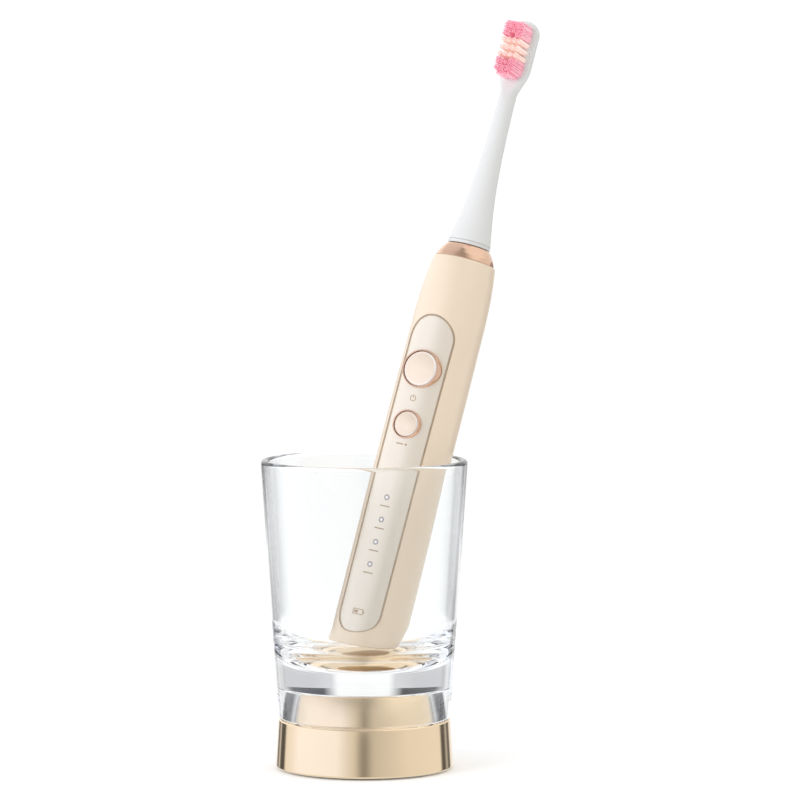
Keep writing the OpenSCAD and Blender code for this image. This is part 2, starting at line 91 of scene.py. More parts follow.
BASE_HOME = Matrix.Scale(MM, 4)
BRUSH_TURN = Matrix((across, backward, along)).transposed()
BRUSH_HOME = Matrix.Translation(foot) @ BRUSH_TURN.to_4x4() @ Matrix.Scale(MM, 4)
print("brush leans", round(math.degrees(along.angle(Vector((0, 0, 1)))), 2), "degrees")


def measured(node, home):
    """The lowest and highest corner of a frame node in its upright home, in mm, and its largest radius."""
    to_home = home.inverted()
    points = [to_home @ vertex.co for vertex in frame["nodes"][node].data.vertices]
    low = Vector(min(p[i] for p in points) for i in range(3))
    high = Vector(max(p[i] for p in points) for i in range(3))
    return low, high, max(math.hypot(p.x, p.y) for p in points)


# %% [markdown]
# ## Camera
#
# The camera is a long lens a little above the rim of the glass, as a catalogue picture
# has it. A long lens keeps the sides of the glass nearly parallel.

# %% Camera
CAMERA_PLACE = (0.0138, -1.716, 0.2693)
CAMERA_DOWN = 0.0735  # radians below the horizon
CAMERA_LENS = 200.7


def add_camera():
    data = bpy.data.cameras.new("camera")
    data.lens = CAMERA_LENS
    data.sensor_width = 36
    data.clip_start = 0.05
    camera = bpy.data.objects.new("camera", data)
    camera.location = CAMERA_PLACE
    camera.rotation_euler = (math.pi / 2 - CAMERA_DOWN, 0, 0)
    bpy.context.scene.collection.objects.link(camera)
    bpy.context.scene.camera = camera


add_camera()
print("camera with a", CAMERA_LENS, "mm lens")

# %% [markdown]
# ## Building blocks for shapes
#
# Most pieces here are turned on a lathe, so the main tool takes an outline as radius
# and height and spins it. Real edges are never knife-sharp, and a tiny radius catches
# a line of light, so the outline's corners are rounded first.
#
# A finished piece keeps its object at the origin, with its place in its mesh.

# %% Outlines
def rounded(corners, steps=5):
    """Corners are (x, y) or (x, y, radius): each with a radius becomes an arc."""
    points = []
    count = len(corners)
    for i, corner in enumerate(corners):
        here = Vector(corner[:2])
        if len(corner) < 3:
            points.append(here)
            continue
        before = (Vector(corners[i - 1][:2]) - here).normalized()
        after = (Vector(corners[(i + 1) % count][:2]) - here).normalized()
        half = before.angle(after) / 2
        reach = corner[2] / math.tan(half)
        centre = here + (before + after).normalized() * corner[2] / math.sin(half)
        start, end = here + before * reach - centre, here + after * reach - centre
        turn = start.angle_signed(end)
        for step in range(steps + 1):
            swing = Matrix.Rotation(-turn * step / steps, 2)
            points.append(centre + swing @ start)
    return points


def arc(x, y, radius, start, end, steps):
    """Points along an arc, its angles in degrees."""
    angles = [math.radians(start + (end - start) * i / steps) for i in range(steps + 1)]
    return [(x + radius * math.cos(a), y + radius * math.sin(a)) for a in angles]


# %% Meshes
SHARP = math.radians(32)
MERGE = 1e-7  # points closer than this are one, in metres


def link(name, mesh):
    piece = bpy.data.objects.new(name, mesh)
    bpy.context.scene.collection.objects.link(piece)
    return piece


def soften(mesh):
    """Shades the whole mesh smooth, up to its sharp edges."""
    for face in mesh.polygons:
        face.use_smooth = True
    mesh.set_sharp_from_angle(angle=SHARP)


def tidy(mesh):
    """Closes seams and poles, turns every face outward and softens all but sharp edges."""
    shape = bmesh.new()
    shape.from_mesh(mesh)
    bmesh.ops.remove_doubles(shape, verts=shape.verts, dist=MERGE)
    bmesh.ops.recalc_face_normals(shape, faces=shape.faces)
    shape.to_mesh(mesh)
    shape.free()
    soften(mesh)


def shaped(name, points, faces, home):
    """A piece from points in its upright home, in mm."""
    mesh = bpy.data.meshes.new(name)
    mesh.from_pydata([home @ Vector(p) for p in points], [], faces)
    tidy(mesh)
    return link(name, mesh)


def sewn(count, pairs):
    """The faces between rings of count points, for each pair of ring numbers."""
    steps = [(k, (k + 1) % count) for k in range(count)]
    return [[i * count + k, i * count + m, j * count + m, j * count + k]
            for i, j in pairs for k, m in steps]


def neighbours(count, closed=True):
    """Each ring's number with the next one's. The last meets the first if closed."""
    return [(i, (i + 1) % count) for i in range(count if closed else count - 1)]


def turned(outline, segments):
    """The points of an outline of (radius, height), spun about the upright axis."""
    angles = [2 * math.pi * k / segments for k in range(segments)]
    return [(radius * math.cos(a), radius * math.sin(a), height)
            for radius, height in outline for a in angles]


def lathe(name, outline, home, segments=128):
    """A closed outline, spun. Between two points on the axis there is no face."""
    pairs = [(i, j) for i, j in neighbours(len(outline)) if outline[i][0] or outline[j][0]]
    return shaped(name, turned(outline, segments), sewn(segments, pairs), home)


def lofted(name, rings, home, closed=False):
    """Rings of equal length, sewn one to the next. The ends get caps, or meet if closed."""
    count = len(rings[0])
    faces = sewn(count, neighbours(len(rings), closed))
    if not closed:
        faces += [[ring * count + k for k in range(count)] for ring in (0, len(rings) - 1)]
    return shaped(name, [point for ring in rings for point in ring], faces, home)


def applied(piece):
    """Makes the piece's modifiers part of its mesh."""
    graph = bpy.context.evaluated_depsgraph_get()
    mesh = bpy.data.meshes.new_from_object(piece.evaluated_get(graph))
    piece.modifiers.clear()
    piece.data = mesh
    return piece


def combined(piece, other, operation):
    """Cuts the piece with the other one, which is used up."""
    modifier = piece.modifiers.new("cut", "BOOLEAN")
    modifier.operation = operation
    modifier.object = other
    modifier.solver = "EXACT"
    applied(piece)
    bpy.data.objects.remove(other)
    return piece


def cut(piece, *cutters):
    """Takes the cutters away from the piece."""
    for cutter in cutters:
        combined(piece, cutter, "DIFFERENCE")
    tidy(piece.data)
    return piece


def joined(name, parts):
    """Several objects as one piece."""
    shape = bmesh.new()
    for part in parts:
        shape.from_mesh(part.data)
        bpy.data.objects.remove(part)
    mesh = bpy.data.meshes.new(name)
    shape.to_mesh(mesh)
    shape.free()
    soften(mesh)
    return link(name, mesh)


# %% [markdown]
# ## Building blocks for materials
#
# A surface that is one flat colour looks like a toy. Real paint, plastic and metal
# vary a little: the tone drifts, the gloss has wipe marks, and there is a fine grain.
# Three small node groups make those effects, and every material below uses them with
# its own values. The groups give out only colours and numbers, and the shader itself
# stays in the material.

# %% Node helpers
def feed(tree, socket, value):
    """Links a socket to another one, or sets it to a plain value."""
    if isinstance(value, bpy.types.NodeSocket):
        tree.links.new(value, socket)
    else:
        socket.default_value = value


def place_node(tree, kind, inputs=None, **settings):
    """A node. inputs has a socket or a value for each input, by label or by number."""
    node = tree.nodes.new(kind)
    for key, value in settings.items():
        setattr(node, key, value)
    for label, value in (inputs or {}).items():
        feed(tree, node.inputs[label], value)
    return node


def new_tree(name, kind, inputs, outputs):
    """A tree with named sockets: (label, kind, default) going in, (label, kind) coming out."""
    tree = bpy.data.node_groups.new(name, kind)
    for label, socket_kind, default in inputs:
        socket = tree.interface.new_socket(label, in_out="INPUT", socket_type=socket_kind)
        if default is not None:
            socket.default_value = default
    for label, socket_kind in outputs:
        tree.interface.new_socket(label, in_out="OUTPUT", socket_type=socket_kind)
    return tree, tree.nodes.new("NodeGroupInput").outputs, tree.nodes.new("NodeGroupOutput").inputs


def sum_of(tree, kind, a, b=0):
    """A Math node: a and b are sockets or numbers."""
    return place_node(tree, "ShaderNodeMath", {0: a, 1: b}, operation=kind).outputs[0]


def spread(tree, value, low, high):
    """Stretches noise, which stays near a half, over low to high."""
    ends = {"Value": value, "From Min": 0.3, "From Max": 0.7, "To Min": low, "To Max": high}
    return place_node(tree, "ShaderNodeMapRange", ends).outputs["Result"]


def ranged(tree, value, low, high):
    """0 below low, 1 above high, and smooth between."""
    ends = {"Value": value, "From Min": low, "From Max": high}
    return place_node(tree, "ShaderNodeMapRange", ends, interpolation_type="SMOOTHSTEP").outputs["Result"]


def blended(tree, factor, a, b, kind="MIX"):
    """A Mix node for colours. a and b are sockets, colours or shades of grey."""
    a, b = ((value, value, value, 1) if isinstance(value, float) else value for value in (a, b))
    return place_node(tree, "ShaderNodeMix", {0: factor, 6: a, 7: b},
                      data_type="RGBA", blend_type=kind).outputs[2]


# %% The shared effects
FLOAT, COLOUR, VECTOR = "NodeSocketFloat", "NodeSocketColor", "NodeSocketVector"


def noise(group, given, detail, **values):
    """Noise at the group's own place and scale, unless the values say otherwise."""
    inputs = {"Vector": given["Vector"], "Scale": given["Scale"], "Detail": detail, **values}
    return place_node(group, "ShaderNodeTexNoise", inputs).outputs["Fac"]


def tone_drift():
    """Colour that drifts a little lighter and darker in soft patches."""
    group, given, result = new_tree("Tone Drift", "ShaderNodeTree", [
        ("Vector", VECTOR, None), ("Colour", COLOUR, (0.8, 0.8, 0.8, 1)),
        ("Scale", FLOAT, 60), ("Amount", FLOAT, 0.04),
    ], [("Colour", COLOUR)])
    below = sum_of(group, "SUBTRACT", 1, given["Amount"])
    above = sum_of(group, "ADD", 1, given["Amount"])
    patches = spread(group, noise(group, given, 4), below, above)
    tone = place_node(group, "ShaderNodeHueSaturation", {"Value": patches, "Color": given["Colour"]})
    feed(group, result["Colour"], tone.outputs["Color"])
    return group


def wipe_marks():
    """Roughness that rises in long faint smears, as from a cloth or a thumb."""
    group, given, result = new_tree("Wipe Marks", "ShaderNodeTree", [
        ("Vector", VECTOR, None), ("Roughness", FLOAT, 0.3), ("Amount", FLOAT, 0.05), ("Scale", FLOAT, 40),
    ], [("Roughness", FLOAT)])
    stretch = place_node(group, "ShaderNodeMapping", {"Vector": given["Vector"], "Scale": (1, 1, 0.35)})
    smears = noise(group, given, 3, Distortion=0.8, Vector=stretch.outputs["Vector"])
    total = sum_of(group, "ADD", given["Roughness"], spread(group, smears, 0, given["Amount"]))
    feed(group, result["Roughness"], total)
    return group


def fine_grain():
    """Height of a fine grain, for a Bump node."""
    group, given, result = new_tree("Fine Grain", "ShaderNodeTree", [
        ("Vector", VECTOR, None), ("Scale", FLOAT, 3000),
    ], [("Height", FLOAT)])
    feed(group, result["Height"], noise(group, given, 2))
    return group


TONE_DRIFT, WIPE_MARKS, FINE_GRAIN = tone_drift(), wipe_marks(), fine_grain()
print("shared effects:", TONE_DRIFT.name, WIPE_MARKS.name, FINE_GRAIN.name)


# %% One maker for everyday finishes
def use_group(tree, group, where, **values):
    """One shared effect, with its own values. Gives what comes out of it."""
    return place_node(tree, "ShaderNodeGroup", {"Vector": where, **values}, node_tree=group).outputs[0]


def new_material(name, **sockets):
    """A material with plain Principled values, and its tree, shader and object coordinates."""
    material = bpy.data.materials.new(name)
    material.use_nodes = True
    tree = material.node_tree
    shader = tree.nodes["Principled BSDF"]
    for label, value in sockets.items():
        shader.inputs[label.replace("_", " ")].default_value = value
    return material, tree, shader, place_node(tree, "ShaderNodeTexCoord").outputs["Object"]


def finish(name, colour, roughness, metallic=0.0, drift=0.04, drift_scale=60,
           wipes=0.05, grain=0.1, grain_scale=3000, grain_depth=2e-5, **sockets):
    """A material with the three shared effects. The grain's depth is in metres."""
    material, tree, shader, where = new_material(name, Metallic=metallic, **sockets)
    height = use_group(tree, FINE_GRAIN, where, Scale=grain_scale)
    bump = place_node(tree, "ShaderNodeBump", {"Strength": grain, "Distance": grain_depth, "Height": height})
    tone = use_group(tree, TONE_DRIFT, where, Colour=(*colour, 1), Scale=drift_scale, Amount=drift)
    gloss = use_group(tree, WIPE_MARKS, where, Roughness=roughness, Amount=wipes)
    feed(tree, shader.inputs["Base Color"], tone)
    feed(tree, shader.inputs["Roughness"], gloss)
    feed(tree, shader.inputs["Normal"], bump.outputs["Normal"])
    return material


def see_through(tree, shader, share, colour):
    """Lets light straight through the material by a share."""
    clear = place_node(tree, "ShaderNodeBsdfTransparent", {"Color": colour})
    mix = place_node(tree, "ShaderNodeMixShader", {0: share, 1: shader.outputs[0], 2: clear.outputs[0]})
    feed(tree, tree.nodes["Material Output"].inputs["Surface"], mix.outputs[0])


def mix_tones(material, attribute, first, second, *limits):
    """Mixes two colours by a number stored on the mesh, smoothly between limits if given."""
    tree = material.node_tree
    share = place_node(tree, "ShaderNodeAttribute", attribute_name=attribute).outputs["Fac"]
    if limits:
        share = ranged(tree, share, *limits)
    drift = next(node for node in tree.nodes if node.type == "GROUP" and node.node_tree == TONE_DRIFT)
    feed(tree, drift.inputs["Colour"], blended(tree, share, (*first, 1), (*second, 1)))


def dress(piece, material, body, slot, *nodes):
    """Gives a finished piece its material, its body and the nodes that it stands for. The slot is not used.
    """
    piece.data.materials.clear()
    piece.data.materials.append(material)
    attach(piece, body)
    if nodes:
        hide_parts(*nodes)
    print(piece.name, "has", len(piece.data.vertices), "points")
    return piece

# %% [markdown]
# ## Studio light
#
# Polished metal and glass have no colour of their own to speak of: they show the room.
# So the room is designed first. A world shader works out the compass direction of each
# ray and looks up how bright the studio is there: a big softbox on the left, a dimmer
# one on the right, a white backdrop, and two narrow black flags beside the backdrop.
# The flags draw the dark lines down the sides of the glass and the gold base.
#
# A narrow gap between the two softboxes, right behind the camera, gives polished metal
# its dark line down the middle. Only mirror reflections see that gap.

# %% The studio's brightness by compass direction
# Degrees to the right of the camera's own direction, brightness there, and how cool
# that light is: the softbox on the left is daylight. ROOM is the view straight ahead,
# HIGH_SIDES is a little above it and OVERHEAD is the ceiling. Seen through glass, the
# flags are wider and softer, because the wall of a glass bends the view of them.
ROOM = [
    (-180, 1.0, 0), (-160, 1.0, 0), (-157, 0.2, 0), (-150, 0.2, 0), (-146, 0.8, 0),
    (-141, 0.1, 0), (-129, 0.1, 0), (-125, 0.9, 0), (-110, 0.98, 0.4), (-96, 1.14, 1),
    (-36, 1.1, 1), (-22, 0.85, 0.5), (-14, 0.74, 0), (14, 0.62, 0), (30, 0.7, 0),
    (60, 0.84, 0), (119, 0.88, 0), (123, 0.1, 0), (132, 0.12, 0), (135, 0.5, 0),
    (139, 0.5, 0), (142, 0.12, 0), (149, 0.14, 0), (153, 0.98, 0), (180, 1.0, 0),
]
HIGH_SIDES = [
    (-180, 1.2, 0), (-116, 1.2, 0.3), (-98, 1.15, 0.8), (-36, 1.12, 1), (-14, 0.74, 0),
    (14, 0.62, 0), (60, 0.86, 0), (180, 1.0, 0),
]
THROUGH_GLASS = [
    (-180, 1.0, 0), (-169, 1.0, 0), (-162, 0.06, 0.5), (-138, 0.1, 0.5), (-122, 0.9, 0),
    (-96, 1.14, 1), (-36, 1.1, 1), (-15, 0.74, 0), (0, 0.3, 0), (15, 0.62, 0),
    (60, 0.84, 0), (122, 0.9, 0), (138, 0.1, 0.5), (162, 0.06, 0.5), (169, 1.0, 0), (180, 1.0, 0),
]
SOLID_HAZE = (0.6, 0.6, 0.618, 1)  # the darkest that a flag looks straight through the solid foot
OVERHEAD = [
    (-180, 0.95, 0), (-110, 0.85, 0.3), (-70, 0.78, 0.5), (-30, 0.48, 0), (8, 0.42, 0),
    (30, 0.8, 0), (50, 1.1, 0), (90, 1.1, 0), (180, 0.95, 0),
]
GAP_HALF_WIDTH = math.radians(15)
GAP_LEVEL = 0.3
BELOW, BACKDROP = 0.85, 1.05
FEW_BENDS = 2.5  # light that bent fewer times than this came straight through
BOUNCES = 28  # light that is caught in solid glass needs many


def brightness_ramp(tree, turn, stops):
    """A colour ramp over a whole turn of the compass."""
    ramp = place_node(tree, "ShaderNodeValToRGB", {"Fac": turn})
    elements = ramp.color_ramp.elements
    while len(elements) < len(stops):
        elements.new(0.5)
    for element, (degrees, level, cool) in zip(elements, stops):
        element.position = (degrees + 180) / 360
        element.color = (level * (1 - 0.05 * cool), level, level * (1 + 0.17 * cool), 1)
    return ramp.outputs["Color"]


# %% The studio
def add_studio():
    world = bpy.data.worlds.new("studio")
    world.use_nodes = True
    bpy.context.scene.world = world
    tree = world.node_tree
    direction = place_node(tree, "ShaderNodeTexCoord").outputs["Generated"]
    x, y, z = place_node(tree, "ShaderNodeSeparateXYZ", {0: direction}).outputs
    azimuth = sum_of(tree, "ARCTAN2", x, sum_of(tree, "MULTIPLY", y, -1))
    turn = sum_of(tree, "ADD", sum_of(tree, "DIVIDE", azimuth, 2 * math.pi), 0.5)
    path = place_node(tree, "ShaderNodeLightPath").outputs
    room, high_sides, walls, overhead = (
        brightness_ramp(tree, turn, stops) for stops in (ROOM, HIGH_SIDES, THROUGH_GLASS, OVERHEAD))

    off_centre = sum_of(tree, "ABSOLUTE", azimuth)
    gap = sum_of(tree, "SUBTRACT", 1, ranged(tree, off_centre, 0, GAP_HALF_WIDTH))
    gap = sum_of(tree, "MULTIPLY", gap, path["Is Glossy Ray"])
    level = blended(tree, gap, room, GAP_LEVEL)
    level = blended(tree, ranged(tree, z, 0.05, 0.14), level, high_sides)
    bends = sum_of(tree, "ADD", path["Transmission Depth"], path["Glossy Depth"])
    solid = blended(tree, sum_of(tree, "LESS_THAN", bends, FEW_BENDS), walls, SOLID_HAZE, "LIGHTEN")
    level = blended(tree, path["Is Transmission Ray"], level, solid)
    level = blended(tree, ranged(tree, z, 0.35, 0.6), level, overhead)
    level = blended(tree, ranged(tree, z, -0.45, -0.25), BELOW, level)
    level = blended(tree, path["Is Camera Ray"], level, BACKDROP)
    feed(tree, tree.nodes["Background"].inputs["Color"], level)


def add_lamp(name, place, aim, size, watts):
    """A soft lamp that mirrors and glass don't show."""
    data = bpy.data.lights.new(name, "AREA")
    data.energy = watts
    data.size = size
    lamp = bpy.data.objects.new(name, data)
    lamp.location = place
    lamp.rotation_euler = (Vector(aim) - Vector(place)).to_track_quat("-Z", "Y").to_euler()
    lamp.visible_glossy = lamp.visible_transmission = False
    bpy.context.scene.collection.objects.link(lamp)


add_studio()
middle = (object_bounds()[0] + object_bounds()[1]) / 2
add_lamp("window_left", (-1.1, -0.9, 0.75), middle, 0.8, 8)
add_lamp("top_light", (0.1, -0.2, 1.6), middle, 1.0, 3)
bpy.context.scene.view_settings.view_transform = "Standard"
for kind in ("glossy_bounces", "transmission_bounces", "max_bounces"):
    setattr(bpy.context.scene.cycles, kind, BOUNCES)
print("studio has", len(ROOM), "stops round the room")

# %% [markdown]
# ## Floor
#
# A pale round sheet of paper. Its edge fades away, so no horizon line crosses the
# picture.

# %% Floor
FLOOR_RADIUS = 1.2  # metres
FLOOR_RINGS, FLOOR_SEGMENTS = 8, 96


def add_floor():
    rings = [(FLOOR_RADIUS / MM * i / FLOOR_RINGS, 0) for i in range(FLOOR_RINGS + 1)]
    faces = sewn(FLOOR_SEGMENTS, neighbours(len(rings), closed=False))
    floor = shaped("floor", turned(rings, FLOOR_SEGMENTS), faces, BASE_HOME)
    material, tree, shader, where = new_material(
        "paper", Roughness=0.9, Specular_IOR_Level=0.1, Emission_Color=(1, 1, 1, 1), Emission_Strength=0.12)
    tone = use_group(tree, TONE_DRIFT, where, Colour=(0.95, 0.95, 0.945, 1), Scale=8, Amount=0.008)
    feed(tree, shader.inputs["Base Color"], tone)
    distance = place_node(tree, "ShaderNodeVectorMath", {0: where}, operation="LENGTH").outputs["Value"]
    edge = ranged(tree, distance, FLOOR_RADIUS * 0.2, FLOOR_RADIUS * 0.9)
    see_through(tree, shader, edge, (1, 1, 1, 1))
    floor.data.materials.append(material)
    floor.visible_glossy = False
    floor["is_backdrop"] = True


add_floor()
print("floor", FLOOR_RADIUS, "m in radius")

# %% [markdown]
# ## Charging base
#
# The base is a shell of polished gold on a plastic bottom plate. Its boss reaches up
# into the hollow foot of the glass. A lathe gives the true shape in one go, and the
# socket of the power lead is then cut into the back.
#
# The gold is a metal with a warm base colour. Its roughness is low, with a few faint
# wipe marks, because a perfect mirror looks like a computer made it.

# %% The gold shell
gold = finish("polished_gold", (0.94, 0.745, 0.51), 0.1, 1.0, drift=0.015, wipes=0.05,
              grain=0.05, grain_scale=5000, grain_depth=4e-6)

BASE_R, SHELF_R, SHELF_Z = 34.5, 33.3, 19.5
BOSS_R, BOSS_TOP_R, BOSS_TOP = 27, 25.1, 31.7
WALL, SKIRT_LOW, EDGE = 2, 0.8, 0.8
INLET_Z, INLET_HALF = 10.23, (4.47, 1.63)
SCREW_ANGLES, SCREW_CIRCLE = (30, 150, 270), 27.4
POST_LOW, POST_R, POST_BORE = 3.3, 3, 1.1


def gold_outline():
    return rounded([
        (BASE_R - WALL - 0.2, SKIRT_LOW), (BASE_R, SKIRT_LOW, EDGE), (SHELF_R, SHELF_Z, EDGE),
        (BOSS_R, SHELF_Z), (BOSS_TOP_R, BOSS_TOP, EDGE), (0, BOSS_TOP),
        (0, BOSS_TOP - WALL), (BOSS_TOP_R - WALL, BOSS_TOP - WALL, 0.5),
        (BOSS_R - WALL, SHELF_Z - WALL), (SHELF_R - WALL, SHELF_Z - WALL, 0.5),
    ], 8)


def stadium_bar(name, half_wide, half_high, near, far, home):
    """A bar with round sides along +Y, centred on the home's axis."""
    line = arc(half_wide - half_high, 0, half_high, -90, 90, 12)
    line += [(-x, -z) for x, z in line]
    rings = [[(x, y, z) for x, z in line] for y in (near, far)]
    return lofted(name, rings, home)


def screw_post(angle):
    """One of the posts inside the shell that a screw holds."""
    turn = Matrix.Rotation(math.radians(angle), 4, "Z")
    home = BASE_HOME @ turn @ Matrix.Translation((SCREW_CIRCLE, 0, 0))
    top = SHELF_Z - WALL + 0.6
    outline = [(POST_BORE, POST_LOW), (POST_R, POST_LOW), (POST_R, top), (POST_BORE, top)]
    return lathe("post", outline, home, 32)


shell = lathe("gold_base", gold_outline(), BASE_HOME, 256)
inlet_home = BASE_HOME @ Matrix.Translation((0, 0, INLET_Z))
cut(shell, stadium_bar("slot", INLET_HALF[0] + 0.35, INLET_HALF[1] + 0.35, 28, 40, inlet_home))
shell = joined("gold_base", [shell] + [screw_post(angle) for angle in SCREW_ANGLES])
dress(shell, gold, "base", "gold_plate", "base_shell")

# %% [markdown]
# Under the base a rubber pad keeps it from sliding. Its rings are grooves in the
# lathe outline, two millimetres apart.

# %% The rubber foot
rubber = finish("foot_rubber", (0.055, 0.053, 0.05), 0.75, drift=0.15, wipes=0.12, grain=0.5,
                grain_scale=2600, grain_depth=3e-5)

PAD_R, PAD_TOP = 30.5, 1.4
GROOVES = range(8, 28, 2)


def pad_outline():
    line = [(0, 0)]
    for r in GROOVES:
        line += [(r, 0), (r + 0.25, 0.4), (r + 0.95, 0.4), (r + 1.2, 0)]
    return line + rounded([(PAD_R, 0, 0.4), (PAD_R, PAD_TOP, 0.2), (0, PAD_TOP)], 4)


dress(lathe("rubber_foot", pad_outline(), BASE_HOME, 96), rubber, "base", "rubber", "foot_pad")

# %% [markdown]
# ## Glass tumbler
#
# A heavy tumbler: thin round lip, walls that thicken downwards, and a foot of solid
# glass more than a centimetre deep with a hollow for the boss. All of its beauty is
# refraction, so the outline has many steps on its curves.
#
# Clear glass is one Principled shader with full transmission. Real glass also lets
# light fall on what stands in it. A renderer finds that path by luck only, so for
# shadow rays and for light bounced off dull surfaces the glass is simply clear.

# %% Glass
RIM_Z, RIM_R, RIM_WALL = 120, 40, 3.1
GLASS_LOW, GLASS_LOW_R = 19.8, 33.3
BOWL_FLOOR, BOWL_R, BOWL_ROUND = 39.5, 33.2, 20
RECESS_GAP = 0.3


def glass_outline():
    lip = RIM_WALL / 2
    foot_r, top_r, top = BOSS_R + RECESS_GAP, BOSS_TOP_R + RECESS_GAP, BOSS_TOP + RECESS_GAP
    line = rounded([(foot_r, GLASS_LOW, 0.5), (GLASS_LOW_R, GLASS_LOW, 1), (RIM_R, RIM_Z)], 10)[:-1]
    line += arc(RIM_R - lip, RIM_Z - lip, lip, 0, 180, 28)
    line += arc(BOWL_R - BOWL_ROUND, BOWL_FLOOR + BOWL_ROUND, BOWL_ROUND, 0, -90, 40)
    line += [(0, BOWL_FLOOR), (0, top)]
    return line + rounded([(0, top), (top_r, top, 1.0), (foot_r, GLASS_LOW)], 10)[1:-1]


def clear_glass():
    material, tree, shader, where = new_material("clear_glass", Transmission_Weight=1, IOR=1.5)
    tint = use_group(tree, TONE_DRIFT, where, Colour=(0.985, 0.995, 0.995, 1), Scale=20, Amount=0.004)
    gloss = use_group(tree, WIPE_MARKS, where, Roughness=0.0, Amount=0.012, Scale=30)
    feed(tree, shader.inputs["Base Color"], tint)
    feed(tree, shader.inputs["Roughness"], gloss)
    path = place_node(tree, "ShaderNodeLightPath").outputs
    easy = sum_of(tree, "MAXIMUM", path["Is Shadow Ray"], path["Is Diffuse Ray"])
    see_through(tree, shader, easy, (0.9, 0.9, 0.89, 1))
    return material


glass = lathe("tumbler", glass_outline(), BASE_HOME, 320)
dress(glass, clear_glass(), "tumbler", "clear_glass", "glass_tumbler")

# %% [markdown]
# ## Handle: the painted body
#
# The handle is a long tube with a slight belly and a round shoulder below the collar.
# A formula gives its radius at each height, so the tube, the panel in its front and
# the metal line round the panel all follow one surface.
#
# The paint is a warm champagne satin with a soft clear coat.

# %% The body's surface
BODY_END, BELLY, BELLY_R, FOOT_R = 158.8, 78, 14.4, 14.3
SHOULDER, SHOULDER_R, SHOULDER_DROP = 132, 14.15, 1.6
PANEL_TOP, PANEL_LOW, PANEL_TOP_R, PANEL_LOW_R = 133.8, 7.8, 9, 8.3
TRIM, SINK, POCKET = 0.7, 0.3, 1.3
POWER_Z, POWER_R, MODE_Z, MODE_R, RING_WALL = 112.6, 6.9, 90.4, 5, 0.6
LIGHTS = [60.5 - 8.66 * i for i in range(4)]
LIGHT_R, LIGHT_BACK = 1.05, 6.9
BAR_ENDS = (4, 24)  # how far in front of the axis a cutting bar starts and ends
BUTTONS = [(POWER_R, POWER_Z), (MODE_R, MODE_Z)]


def body_radius(z):
    if z < BELLY:
        return BELLY_R - (BELLY_R - FOOT_R) * ((BELLY - z) / BELLY) ** 2
    slim = (BELLY_R - SHOULDER_R) * ((z - BELLY) / (SHOULDER - BELLY)) ** 2
    drop = SHOULDER_DROP * (max(0, z - SHOULDER) / (BODY_END - SHOULDER)) ** 2.6
    return BELLY_R - slim - drop


def body_line(low, high, steps, inset=0):
    heights = [low + (high - low) * i / steps for i in range(steps + 1)]
    return [(body_radius(z) - inset, z) for z in heights]


def on_front(x, z, inset):
    """The point of the front surface that is seen at x, z."""
    return Vector((x, -math.sqrt((body_radius(z) - inset) ** 2 - x * x), z))


def panel_outline(grow=0):
    top, low = PANEL_TOP - PANEL_TOP_R, PANEL_LOW + PANEL_LOW_R
    big, small = PANEL_TOP_R + grow, PANEL_LOW_R + grow
    slope = math.degrees(math.asin((big - small) / (top - low)))
    return arc(0, top, big, -slope, 180 + slope, 56) + arc(0, low, small, 180 + slope, 360 - slope, 48)


def front_bar(outline):
    """A bar with that outline that sticks out of the front, for cutting."""
    return lofted("bar", [[(x, -y, z) for x, z in outline] for y in BAR_ENDS], BRUSH_HOME)


def front_slab(name, outline, outer, inner):
    """A curved slab behind the outline, between two depths below the painted surface."""
    line = body_line(0, 150, 100, outer) + body_line(0, 150, 100, inner)[::-1]
    return combined(lathe(name, line, BRUSH_HOME, 320), front_bar(outline), "INTERSECT")


def circle_bar(radius, z):
    return front_bar(arc(0, z, radius, 0, 360, 64)[:-1])


# %% The painted body
paint = finish("cream_paint", (0.85, 0.7, 0.53), 0.38, 0.2, drift=0.012, drift_scale=45, wipes=0.05,
               grain=0.12, grain_scale=4200, grain_depth=6e-6, Coat_Weight=0.5, Coat_Roughness=0.3)

CAP_H, NECK_Z, NECK_BORE, BODY_WALL = 2.6, 151.5, 9.4, 2.4
LOW_BORE, LOW_BORE_TOP = 12, 7  # where the end cap goes in


def body_outline():
    lip = 0.35
    line = [(LOW_BORE, CAP_H + 0.05)] + body_line(CAP_H + 0.05, BODY_END - lip, 120)
    end = body_radius(BODY_END)
    line += [(x, z) for x, z in arc(end - lip, BODY_END - lip, lip, 20, 90, 4)]
    line += [(NECK_BORE, BODY_END), (NECK_BORE, NECK_Z)]
    line += [(body_radius(z) - BODY_WALL, z) for z in (NECK_Z, SHOULDER, BELLY, LOW_BORE_TOP)]
    return line + [(LOW_BORE, LOW_BORE_TOP)]


body = lathe("painted_body", body_outline(), BRUSH_HOME, 320)
cut(body, front_slab("pocket", panel_outline(TRIM), -3, POCKET),
    *[circle_bar(r + RING_WALL + 0.05, z) for r, z in BUTTONS],
    *[circle_bar(LIGHT_R + 0.05, z) for z in LIGHTS])
dress(body, paint, "handle", "cream_paint", "handle_shell")


# %% The end cap
def cap_outline():
    round_r = 1.3
    return [(0, 0)] + arc(FOOT_R - round_r, round_r, round_r, -90, 0, 10) + [
        (body_radius(CAP_H), CAP_H), (11.9, CAP_H), (11.9, 3.4), (10.9, 3.4),
        (10.9, 5), (11.9, 5), (11.9, 6.6), (9.9, 6.6), (9.9, 2), (0, 2)]


dress(lathe("end_cap_round", cap_outline(), BRUSH_HOME, 256), paint, "handle", "cream_paint", "end_cap")

# %% [markdown]
# ## Handle: the front panel
#
# The pearl panel lies in a shallow pocket, a third of a millimetre below the paint. A
# fine bronze line runs round it. The slab is the body's own surface, cut by the
# panel's outline. The line is a small bead, swept along the outline over the curved
# surface, so that it catches light along its whole length.

